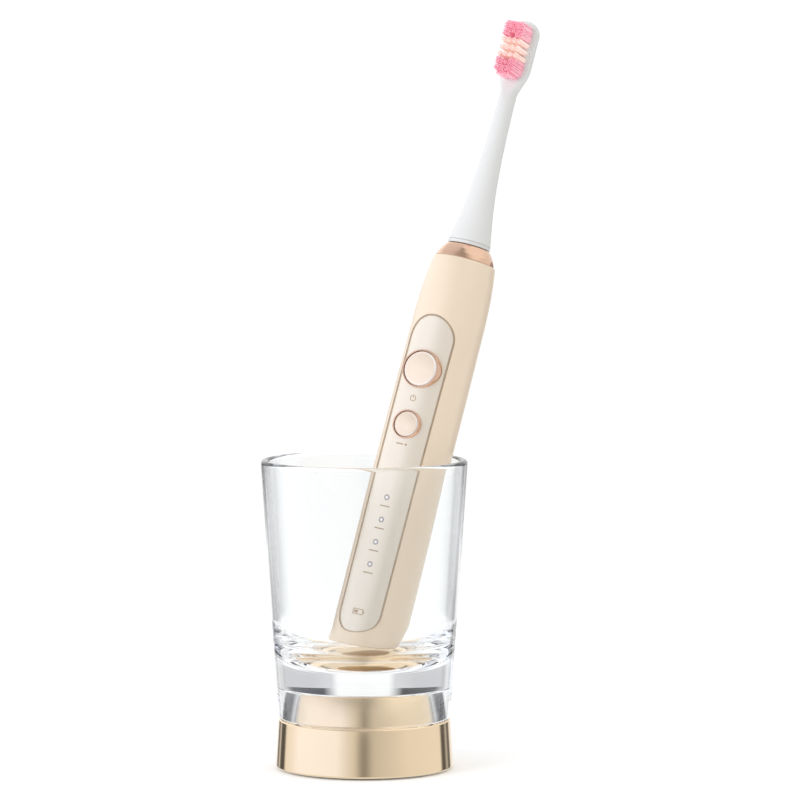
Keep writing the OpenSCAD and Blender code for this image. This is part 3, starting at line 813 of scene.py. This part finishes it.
# %% The panel
pearl = finish("panel_pearl", (0.86, 0.77, 0.65), 0.36, 0.5, drift=0.012, drift_scale=30, wipes=0.05,
               grain=0.1, grain_scale=5000, grain_depth=5e-6, Coat_Weight=0.4, Coat_Roughness=0.3)

panel = front_slab("pearl_panel", panel_outline(), SINK, POCKET)
cut(panel, *[circle_bar(r + RING_WALL + 0.05, z) for r, z in BUTTONS],
    *[circle_bar(LIGHT_R + 0.02, z) for z in LIGHTS])
dress(panel, pearl, "handle", "panel_pearl", "front_panel")

# %% The bronze line
bronze = finish("bronze_line", (0.6, 0.47, 0.33), 0.25, 1.0, drift=0.08, drift_scale=200, wipes=0.1)

# Across the line, and depth below the paint, from one side over the top to the other.
BEAD = [(-0.35, 1.25), (-0.35, 0.3), (-0.26, 0.14), (0, 0.06), (0.26, 0.14), (0.35, 0.3), (0.35, 1.25)]


def evenly(points, step):
    """The same closed line with extra points on its long straights."""
    line = []
    for i, here in enumerate(points):
        after = Vector(points[(i + 1) % len(points)])
        here = Vector(here)
        parts = max(1, round((after - here).length / step))
        line += [here.lerp(after, k / parts) for k in range(parts)]
    return line


def bead_rings(outline):
    rings = []
    for i, here in enumerate(outline):
        run = (outline[(i + 1) % len(outline)] - outline[i - 1]).normalized()
        out = Vector((run.y, -run.x))
        rings.append([on_front(here.x + out.x * a, here.y + out.y * a, depth) for a, depth in BEAD])
    return rings


line = lofted("bronze_outline", bead_rings(evenly(panel_outline(TRIM / 2), 1.5)), BRUSH_HOME, closed=True)
dress(line, bronze, "handle", "bronze_line", "panel_trim")

# %% [markdown]
# ## Buttons and their rings
#
# Each button is a shallow dome with a polished bevel, in a rose gold ring. The
# ring flares down to the curved panel, so its side shows as a bright crescent. Both are
# turned on a lathe that faces out of the handle's front. The bevel is painted paler than
# the dome, a painted highlight, and the share that sets it is stored on the mesh, so that it
# stays exactly on the rings of the lathe.

# %% Rings
rose = finish("rose_gold", (0.8, 0.53, 0.38), 0.14, 1.0, drift=0.02, wipes=0.05, grain=0.04,
              grain_scale=5000, grain_depth=4e-6)
RING_FACE, RING_BACK = 14.55, 10.4


def facing_front(z):
    """A home whose upright axis looks out of the handle's front at height z."""
    return BRUSH_HOME @ Matrix.Translation((0, 0, z)) @ Matrix.Rotation(math.pi / 2, 4, "X")


def ring_outline(radius):
    well, neck = radius + 0.2, radius + RING_WALL
    return rounded([
        (well, RING_BACK), (neck, RING_BACK), (neck, 11.4), (neck + 0.6, 11.4),
        (neck + 0.05, RING_FACE, 0.25), (well, RING_FACE, 0.15),
    ], 6)


for name, (radius, z) in zip(("power", "mode"), BUTTONS):
    ring = lathe(name + "_ring", ring_outline(radius), facing_front(z), 160)
    dress(ring, rose, "handle", "rose_chrome", name + "_bezel")

# %% Two colours in one piece: a lens's tones, and a button's painted highlight
def store_rim_share(piece, middles, radius):
    """Stores how far each point lies from the nearest middle, as a share of the radius."""
    share = piece.data.attributes.new("rim_share", "FLOAT", "POINT")
    for i, vertex in enumerate(piece.data.vertices):
        share.data[i].value = min((vertex.co - c).length for c in middles) / radius


# %% Buttons
button_pearl = finish("button_pearl", (0.85, 0.71, 0.57), 0.3, 0.4, drift=0.012, drift_scale=80,
                      wipes=0.05, grain=0.08, grain_scale=5000, grain_depth=5e-6,
                      Coat_Weight=0.4, Coat_Roughness=0.12)
CAP_BACK, CAP_RIM, CROWN, STEM_BACK, STEM_R, BEVEL = 11.9, 14.75, 0.5, 9.8, 2.2, 0.7


def button_outline(radius):
    face, steps = radius - BEVEL, 14
    line = [(0, STEM_BACK), (STEM_R, STEM_BACK), (STEM_R, CAP_BACK)]
    line += rounded([
        (radius, CAP_BACK), (radius, CAP_RIM - BEVEL, 0.3), (face, CAP_RIM, 0.25), (0, CAP_RIM),
    ], 5)[:-1]
    for i in range(1, steps + 1):
        x = (face - 0.3) * (1 - i / steps)
        line.append((x, CAP_RIM + CROWN * (1 - (x / face) ** 2)))
    return line


# The pale colour on the bevel, outside about nine tenths of the radius, is a painted highlight.
mix_tones(button_pearl, "rim_share", (0.85, 0.71, 0.57), (0.99, 0.94, 0.87), 0.87, 0.91)
for name, (radius, z) in zip(("power", "mode"), BUTTONS):
    dome = lathe(name + "_dome", button_outline(radius), facing_front(z), 160)
    store_rim_share(dome, [facing_front(z) @ Vector((0, 0, CAP_RIM))], radius * MM)
    dress(dome, button_pearl, name + "_key", "button_pearl", name + "_button")

# %% [markdown]
# ## Lights
#
# Four small lenses show the brushing mode. Each is a frosted rod that brings the light
# of a diode to the panel, with a pale middle and a darker rim.

# %% Lenses
def lens(z):
    depth = body_radius(z) - SINK
    outline = rounded([(0, LIGHT_BACK), (LIGHT_R, LIGHT_BACK), (LIGHT_R, depth - 0.06, 0.1)], 3)
    outline += [(LIGHT_R * share, depth + 0.03 - 0.09 * share ** 2) for share in (0.85, 0.7, 0.5, 0.25, 0)]
    return lathe("lens", outline, facing_front(z), 40)


lenses = joined("mode_lenses", [lens(z) for z in LIGHTS])
fronts = [BRUSH_HOME @ on_front(0, z, SINK) for z in LIGHTS]
store_rim_share(lenses, fronts, LIGHT_R * MM)
lens_frost = finish("lens_frost", (0.5, 0.46, 0.52), 0.25, wipes=0.08, grain=0.05)
mix_tones(lens_frost, "rim_share", (0.82, 0.8, 0.8), (0.45, 0.41, 0.44), 0.3, 0.75)
dress(lenses, lens_frost, "handle", "light_pipe", "light_guides")

# %% [markdown]
# ## Collar
#
# A cone of rose gold chrome closes the handle. Its small rounded edges show as dark
# and bright hairlines.

# %% Collar
COLLAR_Z, COLLAR_TOP, COLLAR_LOW = 158.9, 164.6, NECK_Z + 0.6
SHAFT_HOLE, SEAL_HOLE = 4.6, 7.6


def collar_outline():
    return rounded([
        (SEAL_HOLE, COLLAR_LOW), (NECK_BORE - 0.05, COLLAR_LOW), (NECK_BORE - 0.05, COLLAR_Z),
        (body_radius(BODY_END) - 0.45, COLLAR_Z, 0.2), (11.1, COLLAR_Z + 2, 5), (10.1, COLLAR_Z + 3.8, 5),
        (9.25, COLLAR_TOP - 0.7, 0.4), (8.6, COLLAR_TOP, 0.2), (SHAFT_HOLE, COLLAR_TOP),
        (SHAFT_HOLE, COLLAR_Z + 1.6), (SEAL_HOLE, COLLAR_Z + 1.6),
    ], 8)


dress(lathe("rose_collar", collar_outline(), BRUSH_HOME, 256), rose, "handle", "rose_chrome", "collar_ring")

# %% [markdown]
# ## Brush head
#
# The neck starts as a round skirt, narrows to a pencil, and widens to the plate that
# holds the bristles. It is lofted: one section at each height, each a superellipse
# whose exponent grows from 2, a circle, towards a box with round edges. Inside is the
# socket for the drive shaft.

# %% The neck and plate
SKIRT_Z, SKIRT_R, NECK_R = 166.4, 8.4, 3.1
PLATE_LOW, PLATE_HALF, PLATE_FRONT, PLATE_BACK, TIP, ROUND = 226, 6.3, -1.7, 2.9, 257.5, 6.4
AROUND = 96


def eased(value, low, high):
    share = min(1, max(0, (value - low) / (high - low)))
    return share * share * (3 - 2 * share)


def neck_radius(z):
    return NECK_R + (SKIRT_R - NECK_R) * math.exp(-(max(0, z - SKIRT_Z) / 22.5) ** 1.12)


def plate_half(z):
    end = min(1, max(0, z - (TIP - ROUND)) / ROUND)
    half = NECK_R + (PLATE_HALF - NECK_R) * eased(z, PLATE_LOW, PLATE_LOW + 12)
    return half * math.sqrt(1 - end ** 2.3)


def head_section(z):
    """The ring of points round the head at height z."""
    width = neck_radius(z) if z < PLATE_LOW else plate_half(z)
    radius = neck_radius(z)
    squash = eased(z, PLATE_LOW - 3, PLATE_LOW + 8)
    front = -radius + (radius + PLATE_FRONT) * squash
    back = radius + (PLATE_BACK - radius) * squash
    end = max(0, (z - (TIP - 1.6)) / 1.6)
    thin = math.sqrt(max(0.0, 1 - end ** 2.2))
    middle, depth = (front + back) / 2 - 0.25 * end, (back - front) / 2 * thin
    power = 2 / (2 + 1.6 * squash)
    ring = []
    for k in range(AROUND):
        a = 2 * math.pi * k / AROUND
        c, s = math.cos(a), math.sin(a)
        across_head = width * math.copysign(abs(c) ** power, c)
        ring.append((across_head, middle + depth * math.copysign(abs(s) ** power, s), z))
    return ring


def round_ring(radius, z):
    return [(x, y, z) for x, y in arc(0, 0, radius, 0, 360, AROUND)[:-1]]


def head_rings():
    socket = ((0, 189.2), (3.7, 189.2), (3.7, 175.4), (6.7, 168.6), (6.7, SKIRT_Z))
    skirt = ((SKIRT_R - 0.25, SKIRT_Z), (SKIRT_R - 0.08, SKIRT_Z + 0.08))
    start, end = SKIRT_Z + 0.5, TIP - ROUND
    heights = [start - 0.23] + [start + (end - start) * i / 110 for i in range(111)]
    heights += [end + ROUND * math.sin(math.radians(90 * i / 30)) for i in range(1, 31)]
    return [round_ring(r, z) for r, z in socket + skirt] + [head_section(z) for z in heights]


head_white = finish("head_white", (0.72, 0.72, 0.695), 0.32, drift=0.01, drift_scale=60, wipes=0.06,
                    grain=0.12, grain_scale=2600, grain_depth=1e-5)
neck = lofted("brush_neck_white", head_rings(), BRUSH_HOME)
dress(neck, head_white, "brush_head", "head_plastic", "brush_neck")

# %% The ring at the foot of the head
HEAD_Z, RING_H = 165.0, 1.3
skirt_ring = rounded([
    (4.4, HEAD_Z), (SKIRT_R - 0.1, HEAD_Z, 0.25),
    (SKIRT_R + 0.05, HEAD_Z + RING_H, 0.15), (4.4, HEAD_Z + RING_H),
], 5)
head_ring = lathe("head_ring", skirt_ring, BRUSH_HOME, 192)
dress(head_ring, head_white, "brush_head", "head_plastic", "head_base_ring")

# %% [markdown]
# ## Bristles
#
# Real bristles are bundles of nylon thread, thousands of them. Geometry Nodes is made
# for this: it scatters points over the foot of each tuft, never closer than the width
# of a thread, and stands a thin five-sided thread on each. A little tilt and uneven
# length keep the bundle from looking like a block.

# %% A Geometry Nodes tree for bristles
GEOMETRY = ("Geometry", "NodeSocketGeometry")
SEED, MATERIAL = ("Seed", "NodeSocketInt", 1), ("Material", "NodeSocketMaterial", None)
DENSITY = 6e7  # threads per square metre at the most
LEAN, UNEVEN = 0.012, 0.012  # the most that a thread tilts, in radians, and falls short


def shape_tree(name, *inputs):
    """A Geometry Nodes tree: a shape goes in with the inputs, and a shape comes out."""
    return new_tree(name, "GeometryNodeTree", [(*GEOMETRY, None), *inputs], [GEOMETRY])


def grown(piece, tree, **values):
    """Runs a tree on a piece and keeps the result as a plain mesh. Inputs are set by identifier."""
    modifier = piece.modifiers.new(tree.name, "NODES")
    modifier.node_group = tree
    for item in tree.interface.items_tree:
        if item.item_type == "SOCKET" and item.in_out == "INPUT" and item.name in values:
            modifier[item.identifier] = values[item.name]
    return applied(piece)


def finished(tree, result, geometry, material):
    """The end of each tree: real geometry with its material."""
    real = place_node(tree, "GeometryNodeRealizeInstances", {0: geometry}).outputs[0]
    painted = place_node(tree, "GeometryNodeSetMaterial", {"Geometry": real, "Material": material})
    feed(tree, result["Geometry"], painted.outputs[0])
    return tree


def random_between(tree, low, high, seed, salt):
    """A random vector for each point."""
    inputs = {0: low, 1: high, "Seed": sum_of(tree, "ADD", seed, salt)}
    return place_node(tree, "FunctionNodeRandomValue", inputs, data_type="FLOAT_VECTOR").outputs[0]


def turned_by(tree, angles):
    return place_node(tree, "FunctionNodeEulerToRotation", {0: angles}).outputs[0]


def bristle_tree():
    tree, given, result = shape_tree(
        "Bristles", ("Spacing", FLOAT, 0.0003), ("Length", FLOAT, 0.0084), ("Width", FLOAT, 0.0003),
        SEED, MATERIAL)
    seed = given["Seed"]
    scatter = place_node(tree, "GeometryNodeDistributePointsOnFaces", {
        "Mesh": given["Geometry"], "Distance Min": given["Spacing"], "Density Max": DENSITY, "Seed": seed,
    }, distribute_method="POISSON").outputs
    one = place_node(tree, "GeometryNodeMeshCone", {
        "Vertices": 5, "Depth": given["Length"],
        "Radius Top": sum_of(tree, "MULTIPLY", given["Width"], 0.34),
        "Radius Bottom": sum_of(tree, "MULTIPLY", given["Width"], 0.5),
    })
    lean = random_between(tree, (-LEAN, -LEAN, -3), (LEAN, LEAN, 3), seed, 1)
    turn = place_node(tree, "FunctionNodeRotateRotation",
                      {0: scatter["Rotation"], 1: turned_by(tree, lean)}, rotation_space="LOCAL")
    stand = place_node(tree, "GeometryNodeInstanceOnPoints", {
        "Points": scatter["Points"], "Instance": one.outputs["Mesh"], "Rotation": turn.outputs[0],
        "Scale": random_between(tree, (1, 1, 1 - UNEVEN), (1, 1, 1), seed, 2),
    })
    tones = random_between(tree, (0, 0, 0), (1, 1, 1), seed, 3)
    tint = place_node(tree, "GeometryNodeStoreNamedAttribute", {
        "Geometry": stand.outputs[0], "Name": "thread_tint",
        "Value": place_node(tree, "ShaderNodeSeparateXYZ", {0: tones}).outputs[0],
    }, domain="INSTANCE", data_type="FLOAT")
    return finished(tree, result, tint.outputs[0], given["Material"])


BRISTLE_TREE = bristle_tree()
print(BRISTLE_TREE.name, "has", len(BRISTLE_TREE.nodes), "nodes")


# %% Thread material
def thread(name, light, deep, glow, strength):
    """Nylon: each thread has its own tone between the two colours. A faint glow on top is
    painted light: it lifts the shade between the threads, so that the bundles look light."""
    material = finish(name, light, 0.38, wipes=0.1, grain=0.0, Coat_Weight=0.1,
                      Emission_Color=(*glow, 1), Emission_Strength=strength)
    mix_tones(material, "thread_tint", light, deep)
    return material


# The glow colour and strength of each nylon are painted light, brightening the bundles.
pink = thread("pink_nylon", (1.0, 0.7, 0.76), (0.98, 0.46, 0.57), (1, 0.3, 0.42), 0.1)
cream = thread("cream_nylon", (1.0, 0.92, 0.89), (0.98, 0.76, 0.7), (1, 0.66, 0.56), 0.14)

# %% [markdown]
# The tufts follow the plate. The toe tuft has the plate's own rounded outline and a
# notch towards the middle, and so has the heel tuft. Narrow gaps split each into
# smaller bundles, as the holes in a real plate do. Between them stand three rows of
# cream tufts.

# %% Feet of the tufts
BRISTLE_LENGTH, HEEL_LOW, HEEL_TOP, TOE_LOW, INSET, GAP = 8.4, 234.4, 239.8, 248.6, 1.9, 0.35
ROOT = 0.2  # threads start this far inside the plate


def foot_mesh(name, outlines):
    """Flat faces on the plate's front, facing out, one for each bundle."""
    points, faces = [], []
    for outline in outlines:
        first = len(points)
        points += [BRUSH_HOME @ Vector((x, PLATE_FRONT + ROOT, z)) for x, z in outline]
        faces.append(list(range(first, len(points))))
    mesh = bpy.data.meshes.new(name)
    mesh.from_pydata(points, [], faces)
    mesh.validate()
    for face in mesh.polygons:
        if face.normal.dot(backward) > 0:
            face.flip()
    return link(name, mesh)


def ellipse(x, z, wide, high, steps=16):
    angles = [2 * math.pi * k / steps for k in range(steps)]
    return [(x + wide * math.cos(a), z + high * math.sin(a)) for a in angles]


def toe_side(low, high, inner, side):
    """Half of the toe tuft between two heights, from x = inner out to the plate's outline."""
    heights = [low + (high - low) * i / 8 for i in range(9)]
    edge = [(side * (plate_half(z) - INSET), z) for z in heights if plate_half(z) - INSET > inner]
    return [(side * inner, low), *edge, (side * inner, edge[-1][1])]


def toe_outlines():
    high = TIP - 2.8
    split = TOE_LOW + 2.9
    parts = []
    for side in (-1, 1):
        parts.append(toe_side(TOE_LOW + (0.3 if side < 0 else 0), split - GAP / 2, 1.1, side))
        parts.append(toe_side(split + GAP / 2, high, GAP / 2, side))
    return parts + [ellipse(0, TOE_LOW + 2.4, 0.75, 0.75)]


def heel_outlines():
    half, split = PLATE_HALF - INSET, HEEL_LOW + 2.6
    near, far = split - GAP / 2, split + GAP / 2
    low_bundle = rounded([(GAP / 2, HEEL_LOW), (half, HEEL_LOW, 1.6), (half, near), (GAP / 2, near)], 4)
    high_bundle = [(1.1, far), (half, far), (half, HEEL_TOP), (1.5, HEEL_TOP), (1.1, HEEL_TOP - 0.6)]
    parts = [[(side * x, z) for x, z in bundle] for side in (-1, 1) for bundle in (low_bundle, high_bundle)]
    parts.append([(x, HEEL_LOW - drop) for x, drop in ((-2.8, 1.25), (2.8, 1.25), (2.8, 0.3), (-2.8, 0.3))])
    return parts + [ellipse(0, split + 0.9, 0.75, 0.75)]


def middle_outlines():
    apart, step = 2 * (PLATE_HALF - INSET - 0.95) / 3, (TOE_LOW - HEEL_TOP) / 3
    return [ellipse(apart * (column - 1.5), HEEL_TOP + step * (row + 0.5), 0.95, 0.95)
            for row in range(3) for column in range(4)]


SPACING, THREAD = 0.26, 0.34  # between threads, and the width of one, in mm
TUFTS = [
    ("toe_threads", toe_outlines, pink, "pink_bristle", "toe_bristles", 3),
    ("heel_threads", heel_outlines, pink, "pink_bristle", "heel_bristles", 5),
    ("middle_threads", middle_outlines, cream, "cream_bristle", "middle_bristles", 7),
]
for name, outlines, nylon, slot_name, node, seed in TUFTS:
    tuft = foot_mesh(name, outlines())
    grown(tuft, BRISTLE_TREE, Spacing=SPACING * MM, Length=(BRISTLE_LENGTH + ROOT) * MM,
          Width=THREAD * MM, Seed=seed, Material=nylon)
    dress(tuft, nylon, "brush_head", slot_name, node)

# %% [markdown]
# ## Windings and screws
#
# The charging coils and the motor's coil are hundreds of turns of copper wire. One
# Geometry Nodes tree winds them all: a grid of points is the section of the coil, each
# point takes a circle as wide as its distance from the axis, and the circles become
# wire. A second tree sets a screw on each of a few points, turned by a random angle,
# because no two screws ever stop at the same one.

# %% A Geometry Nodes tree for windings
def middle_of(tree, a, b):
    return sum_of(tree, "MULTIPLY", sum_of(tree, "ADD", a, b), 0.5)


def winding_tree():
    tree, given, result = shape_tree(
        "Winding", ("Inner", FLOAT, 0.005), ("Outer", FLOAT, 0.009), ("Low", FLOAT, 0.0),
        ("High", FLOAT, 0.01), ("Wire", FLOAT, 0.0005), MATERIAL)
    inner, outer, low, high, wire = (given[label] for label in ("Inner", "Outer", "Low", "High", "Wire"))
    sides = {}
    for label, start, end in (("X", inner, outer), ("Y", low, high)):
        side = sum_of(tree, "SUBTRACT", end, start)
        sides["Size " + label] = sum_of(tree, "SUBTRACT", side, wire)
        sides["Vertices " + label] = sum_of(tree, "FLOOR", sum_of(tree, "DIVIDE", side, wire))
    section = place_node(tree, "GeometryNodeMeshGrid", sides)

    position = place_node(tree, "GeometryNodeInputPosition").outputs[0]
    place = place_node(tree, "ShaderNodeSeparateXYZ", {0: position}).outputs
    radius = sum_of(tree, "ADD", place["X"], middle_of(tree, inner, outer))
    height = sum_of(tree, "ADD", place["Y"], middle_of(tree, low, high))
    circle = place_node(tree, "GeometryNodeCurvePrimitiveCircle", {"Resolution": 64, "Radius": 1})
    turns = place_node(tree, "GeometryNodeInstanceOnPoints", {
        "Points": section.outputs["Mesh"], "Instance": circle.outputs[0], "Scale": radius})
    upright = place_node(tree, "ShaderNodeCombineXYZ", {"Z": height}).outputs[0]
    moved = place_node(tree, "GeometryNodeSetPosition", {"Geometry": turns.outputs[0], "Position": upright})
    loops = place_node(tree, "GeometryNodeRealizeInstances", {0: moved.outputs[0]})
    wire_r = sum_of(tree, "MULTIPLY", wire, 0.48)
    profile = place_node(tree, "GeometryNodeCurvePrimitiveCircle", {"Resolution": 6, "Radius": wire_r})
    tube = place_node(tree, "GeometryNodeCurveToMesh", {
        "Curve": loops.outputs[0], "Profile Curve": profile.outputs[0]})
    return finished(tree, result, tube.outputs[0], given["Material"])


def points_piece(name, places):
    """A piece of loose points, for a tree to work on."""
    mesh = bpy.data.meshes.new(name)
    mesh.from_pydata(places, [], [])
    return link(name, mesh)


# %% The coils
enamel = finish("copper_enamel", (0.7, 0.27, 0.1), 0.28, 0.9, drift=0.1, drift_scale=400, wipes=0.1,
                grain=0.03, Coat_Weight=0.5)
WINDING_TREE = winding_tree()
COILS = [  # name, node, body, home, inner, outer, low, high, wire
    ("charger_winding", "charger_coil", "base", BASE_HOME, 8.8, 16.4, 26.1, 29.0, 0.48),
    ("receiver_winding", "receiver_coil", "handle", BRUSH_HOME, 4.45, 9.0, 3.15, 7.25, 0.45),
    ("stator_winding", "stator_coil", "handle", BRUSH_HOME, 5.1, 8.9, 128.8, 139.2, 0.54),
]
for name, node, body_name, home, inner, outer, low, high, wire in COILS:
    coil = grown(points_piece(name, [(0, 0, 0)]), WINDING_TREE, Inner=inner * MM, Outer=outer * MM,
                 Low=low * MM, High=high * MM, Wire=wire * MM, Material=enamel)
    coil.data.transform(home @ Matrix.Scale(1 / MM, 4))
    tidy(coil.data)
    dress(coil, enamel, body_name, "copper_wire", node)


# %% A Geometry Nodes tree for screws
def screw_tree():
    tree, given, result = shape_tree("Screws", ("Screw", "NodeSocketObject", None), SEED, MATERIAL)
    one = place_node(tree, "GeometryNodeObjectInfo", {"Object": given["Screw"]})
    angle = random_between(tree, (0, 0, 0), (0, 0, 6.2), given["Seed"], 1)
    stand = place_node(tree, "GeometryNodeInstanceOnPoints", {
        "Points": given["Geometry"], "Instance": one.outputs["Geometry"], "Rotation": turned_by(tree, angle)})
    return finished(tree, result, stand.outputs[0], given["Material"])


PITCH, THREAD_DEPTH = 0.5, 0.15  # of a screw's thread, in mm


def screw(head_r, head_h, shank_r, length, slot_half):
    """One cross-head screw in millimetres. Its head's flat top looks along +Z from the origin."""
    outline = [(0, 0), (head_r, 0, 0.2), (head_r, -head_h)]
    root, z = shank_r - THREAD_DEPTH, -head_h
    while z > PITCH - length:
        outline += [(root, z), (shank_r, z - PITCH / 2)]
        z -= PITCH
    outline += [(root, z), (0.2, -length), (0, -length)]
    one = lathe("screw", rounded(outline, 4), Matrix.Identity(4), 40)
    wide = slot_half / 3.5
    across_slot = [(slot_half, -wide), (slot_half, wide), (-slot_half, wide), (-slot_half, -wide)]
    depths = (-0.6 * head_h, 1)
    slots = [lofted("slot", [[(*p, z) for p in line] for z in depths], Matrix.Identity(4))
             for line in (across_slot, [(-y, x) for x, y in across_slot])]
    return cut(one, *slots)


# %% The screws
SCREW_TREE = screw_tree()
zinc = finish("zinc_steel", (0.66, 0.65, 0.6), 0.28, 1.0, drift=0.05, wipes=0.15, grain=0.1)
BOARD_FACE = 6.45  # how far in front of the brush's axis the small heads end
SCREWS = [  # name, node, body, home, places, screw, seed
    ("plate_screws", "base_screws", "base", BASE_HOME @ Matrix.Rotation(math.pi, 4, "X"),
     [(SCREW_CIRCLE * math.cos(a), -SCREW_CIRCLE * math.sin(a), -1.5)
      for a in map(math.radians, SCREW_ANGLES)],
     (2.3, 0.9, 1.05, 9.0, 1.3), 4),
    ("small_screws", "board_screws", "handle", facing_front(0),
     [(x, z, BOARD_FACE) for x in (-6.8, 6.8) for z in (67.25, 103.25)], (1.2, 0.75, 0.55, 0.8, 0.7), 9),
]
for name, node, body_name, home, places, sizes, seed in SCREWS:
    one = screw(*sizes)
    group = grown(points_piece(name, places), SCREW_TREE, Screw=one, Seed=seed, Material=zinc)
    group.data.transform(home)
    tidy(group.data)
    bpy.data.objects.remove(one)
    low, high, _ = measured(node, home)
    print(name, "stand for", [round(v, 2) for v in (*low, *high)])
    dress(group, zinc, body_name, "steel", node)

# %% [markdown]
# ## Everyday materials for the inner pieces
#
# The pieces inside the base and the handle keep their CAD shapes. Each takes a finish
# by its material slot, made by the same maker as above.

# %% Finishes by slot
LOOKS = {  # slot: colour, roughness, how metallic, and what differs from the maker's own values
    "seal_rubber": ((0.16, 0.155, 0.15), 0.6, 0, {"drift": 0.1, "wipes": 0.1, "grain": 0.4}),
    "grey_plastic": ((0.42, 0.41, 0.4), 0.5, 0, {"grain": 0.4}),
    "white_plastic": ((0.8, 0.79, 0.76), 0.42, 0, {"drift": 0.03, "grain": 0.25}),
    "circuit_green": ((0.02, 0.16, 0.07), 0.35, 0,
                      {"drift": 0.2, "drift_scale": 500, "wipes": 0.15, "Coat_Weight": 0.3}),
    "black_chip": ((0.03, 0.03, 0.032), 0.5, 0, {"drift": 0.2, "wipes": 0.15, "grain": 0.4}),
    "led_white": ((0.85, 0.84, 0.76), 0.3, 0, {"drift": 0.05, "wipes": 0.1}),
    "ferrite": ((0.07, 0.07, 0.075), 0.55, 0, {"drift": 0.2, "drift_scale": 300, "grain": 0.6}),
    "steel": ((0.62, 0.62, 0.63), 0.25, 1, {"drift": 0.05, "wipes": 0.15, "grain": 0.2}),
    "plated_steel": ((0.74, 0.73, 0.7), 0.3, 1, {"drift": 0.05, "wipes": 0.15, "grain": 0.2}),
    "bronze_bush": ((0.55, 0.36, 0.17), 0.38, 1, {"drift": 0.1, "wipes": 0.15, "grain": 0.4}),
    "cell_wrap": ((0.05, 0.13, 0.28), 0.3, 0, {"drift": 0.05, "wipes": 0.12, "Coat_Weight": 0.4}),
    "sign_ink": ((0.5, 0.36, 0.22), 0.4, 0.4, {"drift": 0.06, "drift_scale": 400}),
}
FINISHES = {slot: finish(slot, *look, **effects) for slot, (*look, effects) in LOOKS.items()}
FINISHES["rubber"] = rubber
for name, node in frame["nodes"].items():
    if not node.hide_render:
        node.data.materials[0] = FINISHES[node.data.materials[0].name]
print(sum(not node.hide_render for node in frame["nodes"].values()), "nodes keep their CAD shape")

# %% [markdown]
# ## Last step
#
# The size of the finished model is written beside that of the CAD model, so that the
# two can be compared.

# %% Size and finish
visual_box = [list(corner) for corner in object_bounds()]
for corner, cad, visual in zip(("low", "high"), cad_box, visual_box):
    print(corner, [round((v - c) / MM, 2) for c, v in zip(cad, visual)], "mm from the CAD box")
